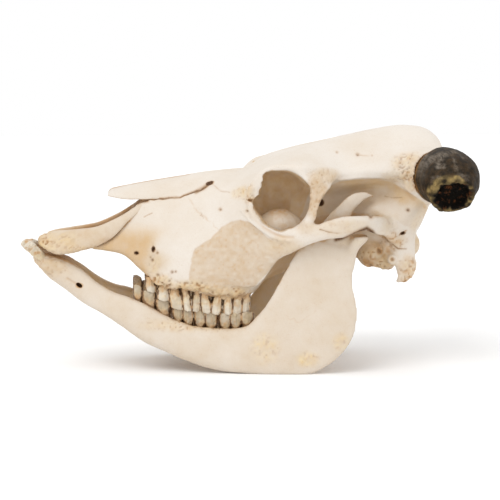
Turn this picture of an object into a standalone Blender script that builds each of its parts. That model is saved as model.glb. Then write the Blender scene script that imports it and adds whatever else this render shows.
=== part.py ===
"""Cow skull with its lower jaw and two short, tipped horns, standing on the lower jaw as it rests on a table.

Lengths are in millimetres on the drawing and become metres when a mesh is made. +X runs from the muzzle to the
poll, +Y to the animal's right, +Z up, and the table is at z = 0. A point of one half is (x, out, z), where out is
the distance from the middle plane, and side is -1 for the left half and +1 for the right half.
"""

from collections import namedtuple

import bmesh
import bpy
import numpy as np
from mathutils import Matrix, Vector

MM = 0.001
MIDDLE_X = -10.2
SIDES = {"left": -1.0, "right": 1.0}

# A point on an edge moves GROWTH along the slant between two faces, which clears each face by about 0.3.
GROWTH = 0.4
SEAM = 0.4
FAR = 400.0
JAW_FRONT_TO_BACK = (-400.0, 0.0)

CRANIUM_VOXEL = 2.4
CRANIUM_SMOOTHING = 6
CRANIUM_TRIANGLES = 5800
JAW_VOXEL = 2.0
JAW_SMOOTHING = 4
JAW_TRIANGLES = 1150
SHEET_VOXEL = 1.6
SHEET_SMOOTHING = 3
SHEET_TRIANGLES = 380

Rib = namedtuple("Rib", "upper lower thick bow", defaults=(0.0,))
Section = namedtuple("Section", "x top crown waist ledge base floor")
Lobe = namedtuple("Lobe", "front rear out width root crown")

# Upright slices through the skull, from the front of the hard palate to the poll. Each pair is (out, z).
SKULL_SECTIONS = (
    Section(-189, 148, (16, 147), (24, 145.5), (27, 143.5), (24, 141), 141),
    Section(-170, 157, (23, 155), (29, 151), (32, 147), (29, 139), 141),
    Section(-150, 177, (25, 175), (32, 165), (36, 149), (33, 134), 138),
    Section(-130, 204, (25, 200), (35, 184), (43, 149), (41, 116), 132),
    Section(-108, 216, (27, 206), (42, 185), (54, 146), (57, 99.5), 126),
    Section(-75, 224, (31, 212), (48, 189), (69, 129), (62, 95.5), 118),
    Section(-47, 229, (38, 218), (57, 195), (72, 140), (62, 87.5), 112),
    Section(-18, 232, (60, 219), (80, 201), (81, 154), (59, 84), 107),
    Section(4, 238.5, (90, 228.5), (91, 204), (86, 162), (50, 95), 107),
    Section(24, 250, (98, 240.5), (54, 210), (66, 163), (40, 116), 119),
    Section(51, 259.5, (102, 242), (46, 205), (50, 168), (30, 123), 128),
    Section(78, 266, (93, 238), (45, 204), (46, 177), (28, 131), 133),
    Section(107, 272.5, (82, 235), (49, 206), (52, 181), (30, 136), 135),
    Section(140, 279.5, (82, 238), (55, 212), (72, 183), (36, 140), 139),
    Section(172, 285, (85, 238), (67, 214), (86, 180), (46, 145), 144),
    Section(194, 285, (86, 238), (84, 213), (80, 191), (46, 161), 159),
    Section(212, 281, (80, 240), (76, 220), (60, 206), (28, 195), 192),
    Section(226, 270, (62, 248), (54, 243), (42, 237), (24, 231), 230),
)

# Cheek bone and zygomatic arch, from the facial tuber back to the root on the temple.
CHEEK_RIBS = (
    Rib((-62, 62, 153), (-62, 64, 115), 12),
    Rib((-24, 76, 176), (-26, 69, 101), 14),
    Rib((5, 87, 178), (4, 73, 102), 13),
    Rib((23, 94, 174), (25, 85, 131.5), 11),
    Rib((43, 100, 172), (43, 95, 143), 11),
    Rib((63, 104, 174), (62, 102, 153), 11),
    Rib((81, 105, 181), (82, 105, 159), 10.5),
    Rib((101, 102, 185.5), (102, 102, 160.5), 10.5),
    Rib((125, 96, 185.5), (123, 95, 168), 12),
    Rib((146, 84, 184), (143, 83, 161), 16),
    Rib((163, 68, 183), (161, 66, 157), 18),
)

# The bar of bone behind the eye socket, from the brow down to the cheek bone.
ORBIT_BAR_RIBS = (
    Rib((57, 92, 240), (101, 76, 231), 10),
    Rib((60, 99, 227), (88, 91, 221), 9),
    Rib((61, 102, 210), (77, 98, 206), 8),
    Rib((59, 103, 192), (69, 102, 190), 8),
    Rib((54, 103, 178), (65, 104, 176), 9),
    Rib((50, 101, 165), (66, 104, 165), 8),
)

ORBIT_CENTRE = (28.5, 96, 204)
ORBIT_RIM_RADII = (36, 38)
ORBIT_RIM_THICK = 3.8
ORBIT_RIM_SIDES = 28
ORBIT_RIM_TUBE_SIDES = 8
ORBIT_LEAN = 8.0
# Outline of the eye socket's opening, as (x, z), and its share of that size further in, as (out, share).
ORBIT_OUTLINE = (
    (10.3, 237), (25, 238.3), (38.8, 237.5), (50.3, 231.2), (59.4, 222), (62.5, 215), (60.6, 207.2), (57.2, 196.9),
    (53.8, 187.7), (49.3, 179.7), (42.4, 174), (35.6, 169.5), (28.7, 166.5), (18.4, 169.6), (11.5, 174.3),
    (2.9, 184.6), (-1.7, 191.5), (-4.7, 198.4), (-3.3, 204.1), (1.7, 209.8), (4, 217.7), (6.8, 229.1),
)
ORBIT_DEPTHS = ((128, 1.06), (104, 1.01), (95, 0.97), (85, 0.93), (74, 0.92), (60, 0.88), (50, 0.76), (42, 0.48), (38.2, 0.12))

# Flat prongs beside and below the hinge of the skull on the neck.
JUGULAR_RIBS = (
    Rib((163, 66, 169), (190, 64, 167), 12),
    Rib((163, 63, 146), (190, 61, 144), 9),
    Rib((164, 62, 126), (192, 61, 124), 7.5),
    Rib((168, 61, 112), (190, 60, 112), 6.5),
    Rib((165, 60, 101), (181, 59, 103), 5.5),
)
PTERYGOID_RIBS = (
    Rib((6, 36, 125), (2, 38, 97), 7),
    Rib((18, 33, 147), (16, 35, 103), 5),
    Rib((35, 29, 157), (35, 31, 109), 4.5),
    Rib((57, 25, 158), (55, 26, 122), 4.5),
    Rib((73, 22, 148), (71, 22, 132), 5),
)
CONDYLE_CENTRE = (185, 31, 145)
CONDYLE_RADII = (15.5, 16, 16.5)
BULLA_CENTRE = (141, 43, 134)
BULLA_RADII = (18, 11, 15)
BULLA_REAR_CENTRE = (157, 47, 129)
BULLA_REAR_RADII = (13, 10, 12.5)
EAR_TUBE_CENTRE = (160, 66, 160)
EAR_TUBE_RADII = (10, 14, 10)
EAR_RING_CENTRE = (162, 59, 131)
EAR_RING_RADII = (7, 9, 7)
SPINAL_HOLE_CENTRE = (202, 0, 147)
SPINAL_HOLE_RADII = (34, 15, 14)

# The short bone stump that carries the horn.
HORN_CORE_RIBS = (
    Rib((184, 38, 262), (184, 38, 197), 72),
    Rib((200, 60, 261), (200, 60, 196), 72),
    Rib((211, 76, 259.5), (211, 76, 197), 65),
    Rib((215, 92, 257.5), (215, 92, 198.5), 58),
)

# The open nose, a passage under the nasal bones. Each rib goes from right to left.
NOSE_PASSAGE_RIBS = (
    Rib((-215, 23, 196), (-215, -23, 196), 104),
    Rib((-180, 23, 196), (-180, -23, 196), 100),
    Rib((-152, 25, 192), (-152, -25, 192), 94),
    Rib((-130, 25, 173), (-130, -25, 173), 60),
    Rib((-105, 26, 171), (-105, -26, 171), 62),
    Rib((-84, 22, 171), (-84, -22, 171), 52),
    Rib((-76, 10, 171), (-76, -10, 171), 26),
)
# The rear mouth of the nose, above the end of the palate.
CHOANA_RIBS = (
    Rib((-8, 16, 122), (-8, -16, 122), 14),
    Rib((10, 21, 122), (10, -21, 122), 30),
    Rib((40, 21, 117), (40, -21, 117), 34),
    Rib((66, 14, 111), (66, -14, 111), 26),
)

# The line, seen from the side as (x, z), that parts the upper jaw bones from the rest of the skull.
UPPER_JAW_SEAM = (
    (-77, 270), (-77, 204), (-65, 188), (-48, 174), (-37, 163), (-19, 142), (-5, 126), (9, 112), (13, 70),
)

NASAL_RIBS = (
    Rib((-164, 4, 209.8), (-169.5, 24, 204.3), 2.8, 1.2),
    Rib((-149, 0.3, 212.5), (-150, 28, 200.5), 3.4, 4.0),
    Rib((-117, 0.3, 219), (-116, 30, 200), 3.6, 5.0),
    Rib((-85, 0.3, 224.5), (-83, 31, 201), 3.8, 5.0),
    Rib((-56, 0.3, 229), (-55, 31, 211), 4.0, 4.0),
    Rib((-30, 0.3, 231.5), (-28, 26, 220), 4.0, 2.5),
    Rib((-7, 0.3, 233), (-7, 11, 229), 4.0, 1.0),
)
NASAL_NOTCH = ((-190, 17.5), (-151, 15), (-190, 11.5))
NASAL_HEIGHTS = (150, 260)

PREMAXILLA_RIBS = (
    Rib((-252, 5, 151), (-250.5, 18, 146), 4),
    Rib((-245.5, 3, 154.5), (-242, 29, 142.5), 9),
    Rib((-232, 4, 159.5), (-227, 36, 138), 13),
    Rib((-212, 16, 162.5), (-209, 37, 139.5), 12),
    Rib((-194, 23, 165.5), (-197, 36, 142), 9),
    Rib((-179, 28, 169), (-184, 33, 144.5), 7),
    Rib((-159, 29, 178), (-163, 33, 156), 5.5),
    Rib((-145, 29, 186), (-149, 33, 171), 5),
    Rib((-133, 28.5, 194), (-136, 32, 182), 4),
    Rib((-124, 28, 198), (-126, 30, 191), 3),
)
PALATINE_BAR_RIBS = (
    Rib((-239, 3, 152), (-238, 9, 142), 7),
    Rib((-214, 2, 150), (-214, 8, 143), 6),
    Rib((-184, 2, 148.5), (-184, 7, 144.5), 5),
    Rib((-165, 2, 148), (-165, 6, 145.5), 4),
)

# Middle line of the left-over horn, and its radius there. It droops, and its end is cut off facing down and out.
HORN_PATH = ((215, 84, 228), (216, 104, 230), (217, 124, 229), (216, 141, 225), (215, 151.5, 219.5), (214, 159.5, 212.5))
HORN_RADII = (32.5, 34, 34, 32.5, 29.5, 26)
HORN_SIDES = 18

# Body and upright branch of one half of the lower jaw. Each rib goes from the mouth side to the table side.
JAW_RIBS = (
    Rib((-255, 8, 138), (-254, 8, 127), 18),
    Rib((-243, 13, 135), (-249, 12, 119), 28),
    Rib((-224, 15, 131), (-239, 14, 107), 30),
    Rib((-203, 21, 119), (-221, 21, 94), 24),
    Rib((-183, 30, 103), (-199, 32, 78), 17),
    Rib((-163, 37, 92), (-176, 40, 66), 16),
    Rib((-143, 45, 86), (-155, 48, 53), 17),
    Rib((-119, 51, 76), (-130, 55, 36), 19),
    Rib((-95, 56, 63), (-104, 60, 24), 22),
    Rib((-67, 60, 54), (-72, 66, 11), 23),
    Rib((-38, 64, 52), (-41, 71, 2.5), 22),
    Rib((-11, 68, 54), (-6, 77, -0.5), 20),
    Rib((3, 72, 67), (32, 82, -2.5), 17),
    Rib((13, 75, 80), (67, 86, 0.5), 13),
    Rib((21, 77, 94), (97, 89, 19), 10),
    Rib((28, 79, 108), (115, 90, 46), 9),
    Rib((36, 81, 123), (118, 90, 78), 8.5),
    Rib((43, 83, 137), (113, 89, 104), 8.5),
    Rib((50, 84, 148), (114, 88, 126), 8.5),
    Rib((62, 85, 158), (116, 86, 142), 8),
)
CORONOID_RIBS = (
    Rib((46, 83, 136), (104, 86, 128), 7),
    Rib((66, 84, 162), (112, 83, 157), 6.5),
    Rib((82, 81, 182), (110, 79, 172), 6),
    Rib((98, 78, 198), (115, 76, 188), 5.5),
    Rib((113, 75, 209.5), (125, 74, 198), 5),
    Rib((129, 72, 211.5), (134, 72, 204), 4.5),
    Rib((141, 70, 205), (140, 70, 202), 3),
)
JAW_HINGE_RIBS = (
    Rib((102, 88, 124), (114, 88, 122), 9),
    Rib((105, 85, 143), (119, 85, 143), 12),
    Rib((108, 82, 155), (130, 82, 155), 27),
    Rib((111, 82, 161.5), (131, 82, 161.5), 27),
)

UPPER_LOBES = (
    Lobe(-125, -113.2, 44, 14, 116, (95, 92.5)),
    Lobe(-112.2, -98, 47, 17, 110, (84.8, 83)),
    Lobe(-96.2, -81.5, 49, 18, 104, (75.4, 72.6)),
    Lobe(-80.5, -71.8, 50, 20, 104, (72.4, 71.6)),
    Lobe(-72.2, -63, 50, 20, 102, (71.6, 70.8)),
    Lobe(-61.5, -49.5, 51, 21, 100, (70.2, 68.9)),
    Lobe(-49.9, -37.5, 51, 21, 98, (68.9, 67.8)),
    Lobe(-36, -24.6, 51, 21, 96, (67.7, 67.9)),
    Lobe(-25, -13.2, 50, 20, 96, (67.9, 68.8)),
    Lobe(-13.6, -4, 49, 18, 96, (68.8, 70)),
)
LOWER_LOBES = (
    Lobe(-140, -130, 41, 9, 78, (101, 98.5)),
    Lobe(-129, -114, 43, 11, 68, (94, 91.6)),
    Lobe(-113, -97.4, 45, 13, 56, (84.1, 82.2)),
    Lobe(-93, -82.2, 47, 15, 44, (74.2, 71.9)),
    Lobe(-82.6, -71, 48, 15, 40, (71.9, 70.7)),
    Lobe(-68.5, -56.4, 49, 16, 36, (70.5, 69)),
    Lobe(-56.8, -42, 50, 16, 34, (69, 67.4)),
    Lobe(-39.5, -27.2, 51, 16, 34, (67.2, 67)),
    Lobe(-27.6, -14.2, 52, 16, 34, (67, 67.6)),
    Lobe(-14.6, 0, 54, 13, 36, (67.6, 69.2)),
)
LOBE_SIDES = 7
LOBE_ROUNDNESS = 1.06
LOBE_LEVELS = ((0.0, 0.8), (0.55, 1.0), (1.0, 0.93))

INCISOR_COUNT = 4
INCISOR_ROOT = (-247, 6.5, 128)
INCISOR_CROWN = (-268.5, 6.5, 150)
INCISOR_TOP = 150.2
INCISOR_ROOT_STEP = (2.2, 4.2, -0.5)
INCISOR_CROWN_STEP = (3.4, 7.4, -2.4)
INCISOR_WIDTH = 9.0
INCISOR_WIDTH_STEP = -0.5
INCISOR_TURN_STEP = 0.25
INCISOR_LEVELS = (
    (-0.3, 0.55, 7.0), (0.1, 0.65, 8.5), (0.35, 0.8, 9.5), (0.6, 0.95, 10.5), (0.82, 1.0, 10.0), (1.0, 0.92, 8.0),
)


def clear_scene():
    for obj in list(bpy.data.objects):
        bpy.data.objects.remove(obj)


def placed(point, side=1.0):
    """A drawing point (x, out, z) in metres on the given side."""
    x, out, z = point
    return Vector(((x - MIDDLE_X) * MM, side * out * MM, z * MM))


def smooth_rows(rows, steps, closed=False):
    """Rows of numbers with steps rows in each gap, read from a Catmull-Rom curve through them."""
    rows = np.asarray(rows, float)
    count = len(rows)
    found = []
    for i in range(count if closed else count - 1):
        if closed:
            a, b, c, d = (rows[(i + k) % count] for k in (-1, 0, 1, 2))
        else:
            b, c = rows[i], rows[i + 1]
            a = rows[i - 1] if i else 2 * b - c
            d = rows[i + 2] if i + 2 < count else 2 * c - b
        for step in range(steps):
            t = step / steps
            bend = (2 * a - 5 * b + 4 * c - d) * t**2 + (3 * b - a - 3 * c + d) * t**3
            found.append(b + 0.5 * ((c - a) * t + bend))
    if not closed:
        found.append(rows[-1])
    return np.array(found)


def skin_rings(bm, rings, closed=False):
    """Joins a row of rings of points into one shell, as a hoop or with a fan of faces over each end."""
    made = [[bm.verts.new(point) for point in ring] for ring in rings]
    count = len(made[0])
    pairs = list(zip(made, made[1:]))
    if closed:
        pairs.append((made[-1], made[0]))
    for near, far in pairs:
        for i in range(count):
            j = (i + 1) % count
            bm.faces.new((near[i], near[j], far[j], far[i]))
    if closed:
        return
    for ring in (made[0], made[-1]):
        middle = bm.verts.new(sum((v.co for v in ring), Vector()) / count)
        for i in range(count):
            bm.faces.new((ring[i], ring[(i + 1) % count], middle))


def add_ribs(bm, ribs, side, steps=3, sides=14, square=0.75):
    """A bar or plate through ribs. A rib joins the two edges of the plate and has its thickness and its bow."""
    rows = smooth_rows([[*rib.upper, *rib.lower, rib.thick, rib.bow] for rib in ribs], steps)
    middles = (rows[:, 0:3] + rows[:, 3:6]) / 2
    along = np.gradient(middles, axis=0)
    rings = []
    for row, middle, ahead in zip(rows, middles, along):
        half = (row[3:6] - row[0:3]) / 2
        across = np.cross(ahead, half)
        across /= np.linalg.norm(across)
        if across[1] < 0:
            across = -across
        ring = []
        for k in range(sides):
            angle = 2 * np.pi * k / sides
            c, s = np.cos(angle), np.sin(angle)
            u = np.sign(c) * abs(c) ** square
            v = np.sign(s) * abs(s) ** square
            offset = half * u + across * (row[6] / 2 * v + row[7] * (1 - u * u))
            ring.append(placed(middle + offset, side))
        rings.append(ring)
    skin_rings(bm, rings)


def add_egg(bm, centre, radii, side, rings=10):
    """An egg with its radii along X, out and Z."""
    rx, ry, rz = (r * MM for r in radii)
    matrix = Matrix.Translation(placed(centre, side)) @ Matrix.Diagonal((rx, ry, rz, 1.0))
    bmesh.ops.create_uvsphere(bm, u_segments=2 * rings, v_segments=rings, radius=1.0, matrix=matrix)


def add_skull_body(bm):
    """The whole face and brain case as one form through the upright slices."""
    rows = [[s.x, s.top, *s.crown, *s.waist, *s.ledge, *s.base, s.floor] for s in SKULL_SECTIONS]
    rings = []
    for x, top, *pairs, floor in smooth_rows(rows, 3):
        half = list(zip(pairs[0::2], pairs[1::2]))
        outline = [(0.0, top), *half, (0.0, floor), *[(-out, z) for out, z in reversed(half)]]
        rings.append([placed((x, out, z)) for out, z in smooth_rows(outline, 4, closed=True)])
    skin_rings(bm, rings)


def add_orbit_rim(bm, side):
    """The raised hoop of bone round the eye socket."""
    lean = np.radians(ORBIT_LEAN)
    facing = np.array([-np.sin(lean), np.cos(lean), 0.0])
    rings = []
    for i in range(ORBIT_RIM_SIDES):
        angle = 2 * np.pi * i / ORBIT_RIM_SIDES
        level = np.array([np.cos(lean), np.sin(lean), 0.0]) * np.cos(angle)
        upright = np.array([0.0, 0.0, np.sin(angle)])
        middle = np.array(ORBIT_CENTRE) + level * ORBIT_RIM_RADII[0] + upright * ORBIT_RIM_RADII[1]
        ring = []
        for k in range(ORBIT_RIM_TUBE_SIDES):
            turn = 2 * np.pi * k / ORBIT_RIM_TUBE_SIDES
            offset = (level + upright) * np.cos(turn) + facing * np.sin(turn)
            ring.append(placed(middle + offset * ORBIT_RIM_THICK, side))
        rings.append(ring)
    skin_rings(bm, rings, closed=True)


def object_from(bm, name):
    bmesh.ops.recalc_face_normals(bm, faces=bm.faces)
    mesh = bpy.data.meshes.new(name)
    bm.to_mesh(mesh)
    bm.free()
    obj = bpy.data.objects.new(name, mesh)
    bpy.context.scene.collection.objects.link(obj)
    return obj


def apply_modifiers(obj):
    bpy.context.view_layer.update()
    graph = bpy.context.evaluated_depsgraph_get()
    mesh = bpy.data.meshes.new_from_object(obj.evaluated_get(graph))
    obj.modifiers.clear()
    obj.data = mesh


def shells_of(bm):
    """The sets of joined points in a mesh, largest first."""
    waiting = set(bm.verts)
    shells = []
    while waiting:
        shell = set()
        edge = [waiting.pop()]
        while edge:
            vert = edge.pop()
            shell.add(vert)
            for link in vert.link_edges:
                other = link.other_vert(vert)
                if other in waiting:
                    waiting.discard(other)
                    edge.append(other)
        shells.append(shell)
    return sorted(shells, key=lambda shell: (-len(shell), min(vert.index for vert in shell)))


def split_shells(obj, count):
    """Parts a mesh into its largest separate surfaces. Scraps and sealed hollows are dropped."""
    pieces = []
    for number in range(count):
        bm = bmesh.new()
        bm.from_mesh(obj.data)
        kept = shells_of(bm)[number]
        bmesh.ops.delete(bm, geom=[v for v in bm.verts if v not in kept], context="VERTS")
        pieces.append(object_from(bm, obj.name))
    bpy.data.objects.remove(obj)
    return pieces


def fuse_clay(obj, voxel, smoothing):
    """Fuses overlapping closed forms into one skin and eases the creases between them."""
    remesh = obj.modifiers.new("fuse", "REMESH")
    remesh.mode = "VOXEL"
    remesh.voxel_size = voxel * MM
    smooth = obj.modifiers.new("ease", "SMOOTH")
    smooth.factor = 0.5
    smooth.iterations = smoothing
    apply_modifiers(obj)


def reduce_to(obj, triangles):
    """Thins a closed skin out. At a knife edge this can leave a triangle with two open edges, which is dropped."""
    obj.data.calc_loop_triangles()
    decimate = obj.modifiers.new("reduce", "DECIMATE")
    decimate.ratio = min(1.0, triangles / len(obj.data.loop_triangles))
    decimate.use_collapse_triangulate = True
    apply_modifiers(obj)
    bm = bmesh.new()
    bm.from_mesh(obj.data)
    flaps = [face for face in bm.faces if any(len(edge.link_faces) == 1 for edge in face.edges)]
    bmesh.ops.delete(bm, geom=flaps, context="FACES")
    bm.to_mesh(obj.data)
    bm.free()


def grown_copy(obj):
    """A copy of a closed piece pushed out along its normals, to cut the gap round that piece."""
    grown = obj.copy()
    grown.data = obj.data.copy()
    bpy.context.scene.collection.objects.link(grown)
    displace = grown.modifiers.new("grow", "DISPLACE")
    displace.mid_level = 0.0
    displace.strength = GROWTH * MM
    apply_modifiers(grown)
    return grown


def combine(obj, others, operation, solver="EXACT"):
    """Joins closed mesh objects to obj, or cuts them from it, and removes them."""
    group = bpy.data.collections.new("group")
    bpy.context.scene.collection.children.link(group)
    for other in others:
        group.objects.link(other)
        bpy.context.scene.collection.objects.unlink(other)
    boolean = obj.modifiers.new(operation.lower(), "BOOLEAN")
    boolean.operation = operation
    boolean.operand_type = "COLLECTION"
    boolean.collection = group
    boolean.solver = solver
    apply_modifiers(obj)
    for other in others:
        bpy.data.objects.remove(other)
    bpy.data.collections.remove(group)


def box_object(name, low, high):
    """A box between two drawing corners (x, y, z)."""
    bm = bmesh.new()
    bmesh.ops.create_cube(bm, size=1.0)
    for vert in bm.verts:
        vert.co = placed([low[i] if vert.co[i] < 0 else high[i] for i in range(3)])
    return object_from(bm, name)


def prism_object(name, outline, low, high, plane):
    """A straight prism from low to high, over an outline drawn in the XZ or the XY plane."""
    bm = bmesh.new()
    ends = []
    for level in (low, high):
        points = [(a, level, b) if plane == "XZ" else (a, b, level) for a, b in outline]
        ends.append([bm.verts.new(placed(point)) for point in points])
    count = len(outline)
    for i in range(count):
        j = (i + 1) % count
        bm.faces.new((ends[0][i], ends[0][j], ends[1][j], ends[1][i]))
    caps = [bm.faces.new(end) for end in ends]
    bm.normal_update()
    bmesh.ops.triangulate(bm, faces=caps)
    return object_from(bm, name)


def upper_jaw_blades():
    """Two thin walls: one along the seam behind the upper jaws, one between the jaws in front of it."""
    line = np.array(UPPER_JAW_SEAM, float)
    across = np.gradient(line, axis=0)[:, ::-1] * (-1, 1)
    across *= SEAM / 2 / np.linalg.norm(across, axis=1)[:, None]
    wall = [*(line + across), *(line - across)[::-1]]
    front = [*line, (JAW_FRONT_TO_BACK[0], line[-1][1]), (JAW_FRONT_TO_BACK[0], line[0][1])]
    return [
        prism_object("rear_seam", wall, -FAR / 2, FAR / 2, "XZ"),
        prism_object("middle_seam", front, -SEAM / 2, SEAM / 2, "XZ"),
    ]


def middle_block(name, side):
    """A block over the wrong side of the middle plane, which trims a half bone to its seam."""
    inner, outer = sorted((-side * FAR / 2, side * SEAM / 2))
    start, end = JAW_FRONT_TO_BACK
    return box_object(name, (start, inner, 60), (end, outer, 260))


def lobe_object(lobe, side):
    """One lobe of a cheek tooth: a tapered column whose root is sunk in the jaw."""
    bm = bmesh.new()
    middle = (lobe.front + lobe.rear) / 2
    half_long = (lobe.rear - lobe.front) / 2
    crown = sum(lobe.crown) / 2
    slope = (lobe.crown[1] - lobe.crown[0]) / 2
    rings = []
    for level, share in LOBE_LEVELS:
        ring = []
        for k in range(LOBE_SIDES):
            angle = 2 * np.pi * (k + 0.5) / LOBE_SIDES
            c, s = np.cos(angle) * LOBE_ROUNDNESS, np.sin(angle) * LOBE_ROUNDNESS
            z = lobe.root + (crown - lobe.root + slope * c) * level
            ring.append(placed((middle + half_long * share * c, lobe.out + lobe.width / 2 * share * s, z), side))
        rings.append(ring)
    skin_rings(bm, rings)
    return object_from(bm, "lobe")


def incisor_object(number, side):
    """One spade-shaped front tooth, fanned outwards from the middle of the jaw."""
    bm = bmesh.new()
    root = np.array(INCISOR_ROOT) + np.array(INCISOR_ROOT_STEP) * number
    crown = np.array(INCISOR_CROWN) + np.array(INCISOR_CROWN_STEP) * number
    width = INCISOR_WIDTH + INCISOR_WIDTH_STEP * number
    ahead = (crown - root) / np.linalg.norm(crown - root)
    flat = np.array([INCISOR_TURN_STEP * (number + 1), 1.0, 0.0])
    flat -= ahead * (flat @ ahead)
    flat /= np.linalg.norm(flat)
    through = np.cross(ahead, flat)
    rings = []
    for share, wide, thick in INCISOR_LEVELS:
        middle = root + (crown - root) * share
        ring = []
        for k in range(LOBE_SIDES):
            angle = 2 * np.pi * k / LOBE_SIDES
            offset = flat * np.cos(angle) * width / 2 * wide + through * np.sin(angle) * thick / 2
            x, out, z = middle + offset
            ring.append(placed((x, out, min(z, INCISOR_TOP)), side))
        rings.append(ring)
    skin_rings(bm, rings)
    return object_from(bm, "incisor")


def nasal_object(side):
    """One nasal bone, a thin bowed roof plate that ends in two prongs."""
    bm = bmesh.new()
    add_ribs(bm, NASAL_RIBS, side, steps=2, sides=12)
    obj = object_from(bm, "nasal")
    outline = [(x, side * out) for x, out in NASAL_NOTCH]
    notch = prism_object("notch", outline, *NASAL_HEIGHTS, "XY")
    combine(obj, [notch, middle_block("middle", side)], "DIFFERENCE")
    return obj


def premaxilla_object(side):
    """The bone at the front of one side of the muzzle, with its bar beside the middle of the palate."""
    bm = bmesh.new()
    add_ribs(bm, PREMAXILLA_RIBS, side, sides=12)
    add_ribs(bm, PALATINE_BAR_RIBS, side, steps=2, sides=8)
    obj = object_from(bm, "premaxilla")
    fuse_clay(obj, SHEET_VOXEL, SHEET_SMOOTHING)
    reduce_to(obj, SHEET_TRIANGLES)
    combine(obj, [middle_block("middle", side)], "DIFFERENCE")
    return split_shells(obj, 1)[0]


def horn_object(side):
    """A short, blunt horn sheath that leaves the skull sideways and droops to its cut end."""
    path = smooth_rows([[*point, radius] for point, radius in zip(HORN_PATH, HORN_RADII)], 2)
    along = np.gradient(path[:, :3], axis=0)
    bm = bmesh.new()
    rings = []
    for row, ahead in zip(path, along):
        level = np.array([1.0, 0.0, 0.0])
        up = np.cross(level, ahead / np.linalg.norm(ahead))
        up /= np.linalg.norm(up)
        ring = []
        for k in range(HORN_SIDES):
            angle = 2 * np.pi * k / HORN_SIDES
            offset = (level * np.cos(angle) + up * np.sin(angle)) * row[3]
            ring.append(placed(row[:3] + offset, side))
        rings.append(ring)
    skin_rings(bm, rings)
    return object_from(bm, "horn")


def cranium_clay():
    """Every outer form of the skull above the lower jaw, fused."""
    bm = bmesh.new()
    add_skull_body(bm)
    for side in SIDES.values():
        for ribs in (CHEEK_RIBS, ORBIT_BAR_RIBS, JUGULAR_RIBS, PTERYGOID_RIBS):
            add_ribs(bm, ribs, side)
        add_orbit_rim(bm, side)
        add_egg(bm, CONDYLE_CENTRE, CONDYLE_RADII, side)
        add_egg(bm, BULLA_CENTRE, BULLA_RADII, side)
        add_egg(bm, BULLA_REAR_CENTRE, BULLA_REAR_RADII, side)
        add_egg(bm, EAR_TUBE_CENTRE, EAR_TUBE_RADII, side)
        add_egg(bm, EAR_RING_CENTRE, EAR_RING_RADII, side)
        add_ribs(bm, HORN_CORE_RIBS, side, sides=24, square=1.0)
    obj = object_from(bm, "cranium")
    fuse_clay(obj, CRANIUM_VOXEL, CRANIUM_SMOOTHING)
    return obj


def orbit_hollow(side):
    """The form that hollows one eye socket."""
    outline = smooth_rows(ORBIT_OUTLINE, 2, closed=True)
    centre = outline.mean(axis=0)
    bm = bmesh.new()
    rings = []
    for out, share in smooth_rows(ORBIT_DEPTHS, 2):
        flat = centre + (outline - centre) * share
        rings.append([placed((x, out, z), side) for x, z in flat])
    skin_rings(bm, rings)
    return object_from(bm, "orbit_hollow")


def cranium_hollows():
    """Closed cutters for the eye sockets, the nose, the throat end of the nose and the spinal hole."""
    cutters = [orbit_hollow(side) for side in SIDES.values()]
    for name, ribs in (("nose_passage", NOSE_PASSAGE_RIBS), ("choana", CHOANA_RIBS)):
        bm = bmesh.new()
        add_ribs(bm, ribs, 1.0, steps=2, sides=16)
        cutters.append(object_from(bm, name))
    bm = bmesh.new()
    add_egg(bm, SPINAL_HOLE_CENTRE, SPINAL_HOLE_RADII, 1.0)
    cutters.append(object_from(bm, "spinal_hole"))
    return cutters


def upper_skull_objects(neighbours):
    """The cranium and the two upper jaw bones with their teeth, cut clear of the bones and horns beside them."""
    skull = cranium_clay()
    combine(skull, cranium_hollows(), "DIFFERENCE", "MANIFOLD")
    reduce_to(skull, CRANIUM_TRIANGLES)
    for cutter in [grown_copy(neighbour) for neighbour in neighbours] + upper_jaw_blades():
        combine(skull, [cutter], "DIFFERENCE", "MANIFOLD")
    cranium, *jaws = split_shells(skull, 3)
    jaws.sort(key=lambda jaw: np.mean([v.co.y for v in jaw.data.vertices]))
    for side, jaw in zip(SIDES.values(), jaws):
        combine(jaw, [lobe_object(lobe, side) for lobe in UPPER_LOBES], "UNION", "MANIFOLD")
    return cranium, jaws


def mandible_object(side):
    """One half of the lower jaw with its cheek teeth and front teeth, cut flat where it stands on the table."""
    bm = bmesh.new()
    add_ribs(bm, JAW_RIBS, side, sides=16)
    add_ribs(bm, CORONOID_RIBS, side, steps=2, sides=12)
    add_ribs(bm, JAW_HINGE_RIBS, side, steps=2)
    obj = object_from(bm, "mandible")
    fuse_clay(obj, JAW_VOXEL, JAW_SMOOTHING)
    reduce_to(obj, JAW_TRIANGLES)
    table = box_object("table", (-FAR, -FAR, -FAR), (FAR, FAR, 0))
    combine(obj, [middle_block("middle", side), table], "DIFFERENCE")
    teeth = [lobe_object(lobe, side) for lobe in LOWER_LOBES]
    teeth += [incisor_object(number, side) for number in range(INCISOR_COUNT)]
    combine(obj, teeth, "UNION", "MANIFOLD")
    return split_shells(obj, 1)[0]


def material(name, colour, roughness):
    made = bpy.data.materials.new(name)
    made.use_nodes = True
    shader = made.node_tree.nodes["Principled BSDF"]
    shader.inputs["Base Color"].default_value = (*colour, 1.0)
    shader.inputs["Roughness"].default_value = roughness
    shader.inputs["Metallic"].default_value = 0.0
    made.diffuse_color = (*colour, 1.0)
    return made


def finish_node(obj, name, finish):
    """Names a finished piece and its mesh, gives it its material and shades it smooth."""
    obj.name = name
    obj.data.name = name
    obj.data.materials.clear()
    obj.data.materials.append(finish)
    obj.data.shade_smooth()
    obj.data.set_sharp_from_angle(angle=np.radians(50))


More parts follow.
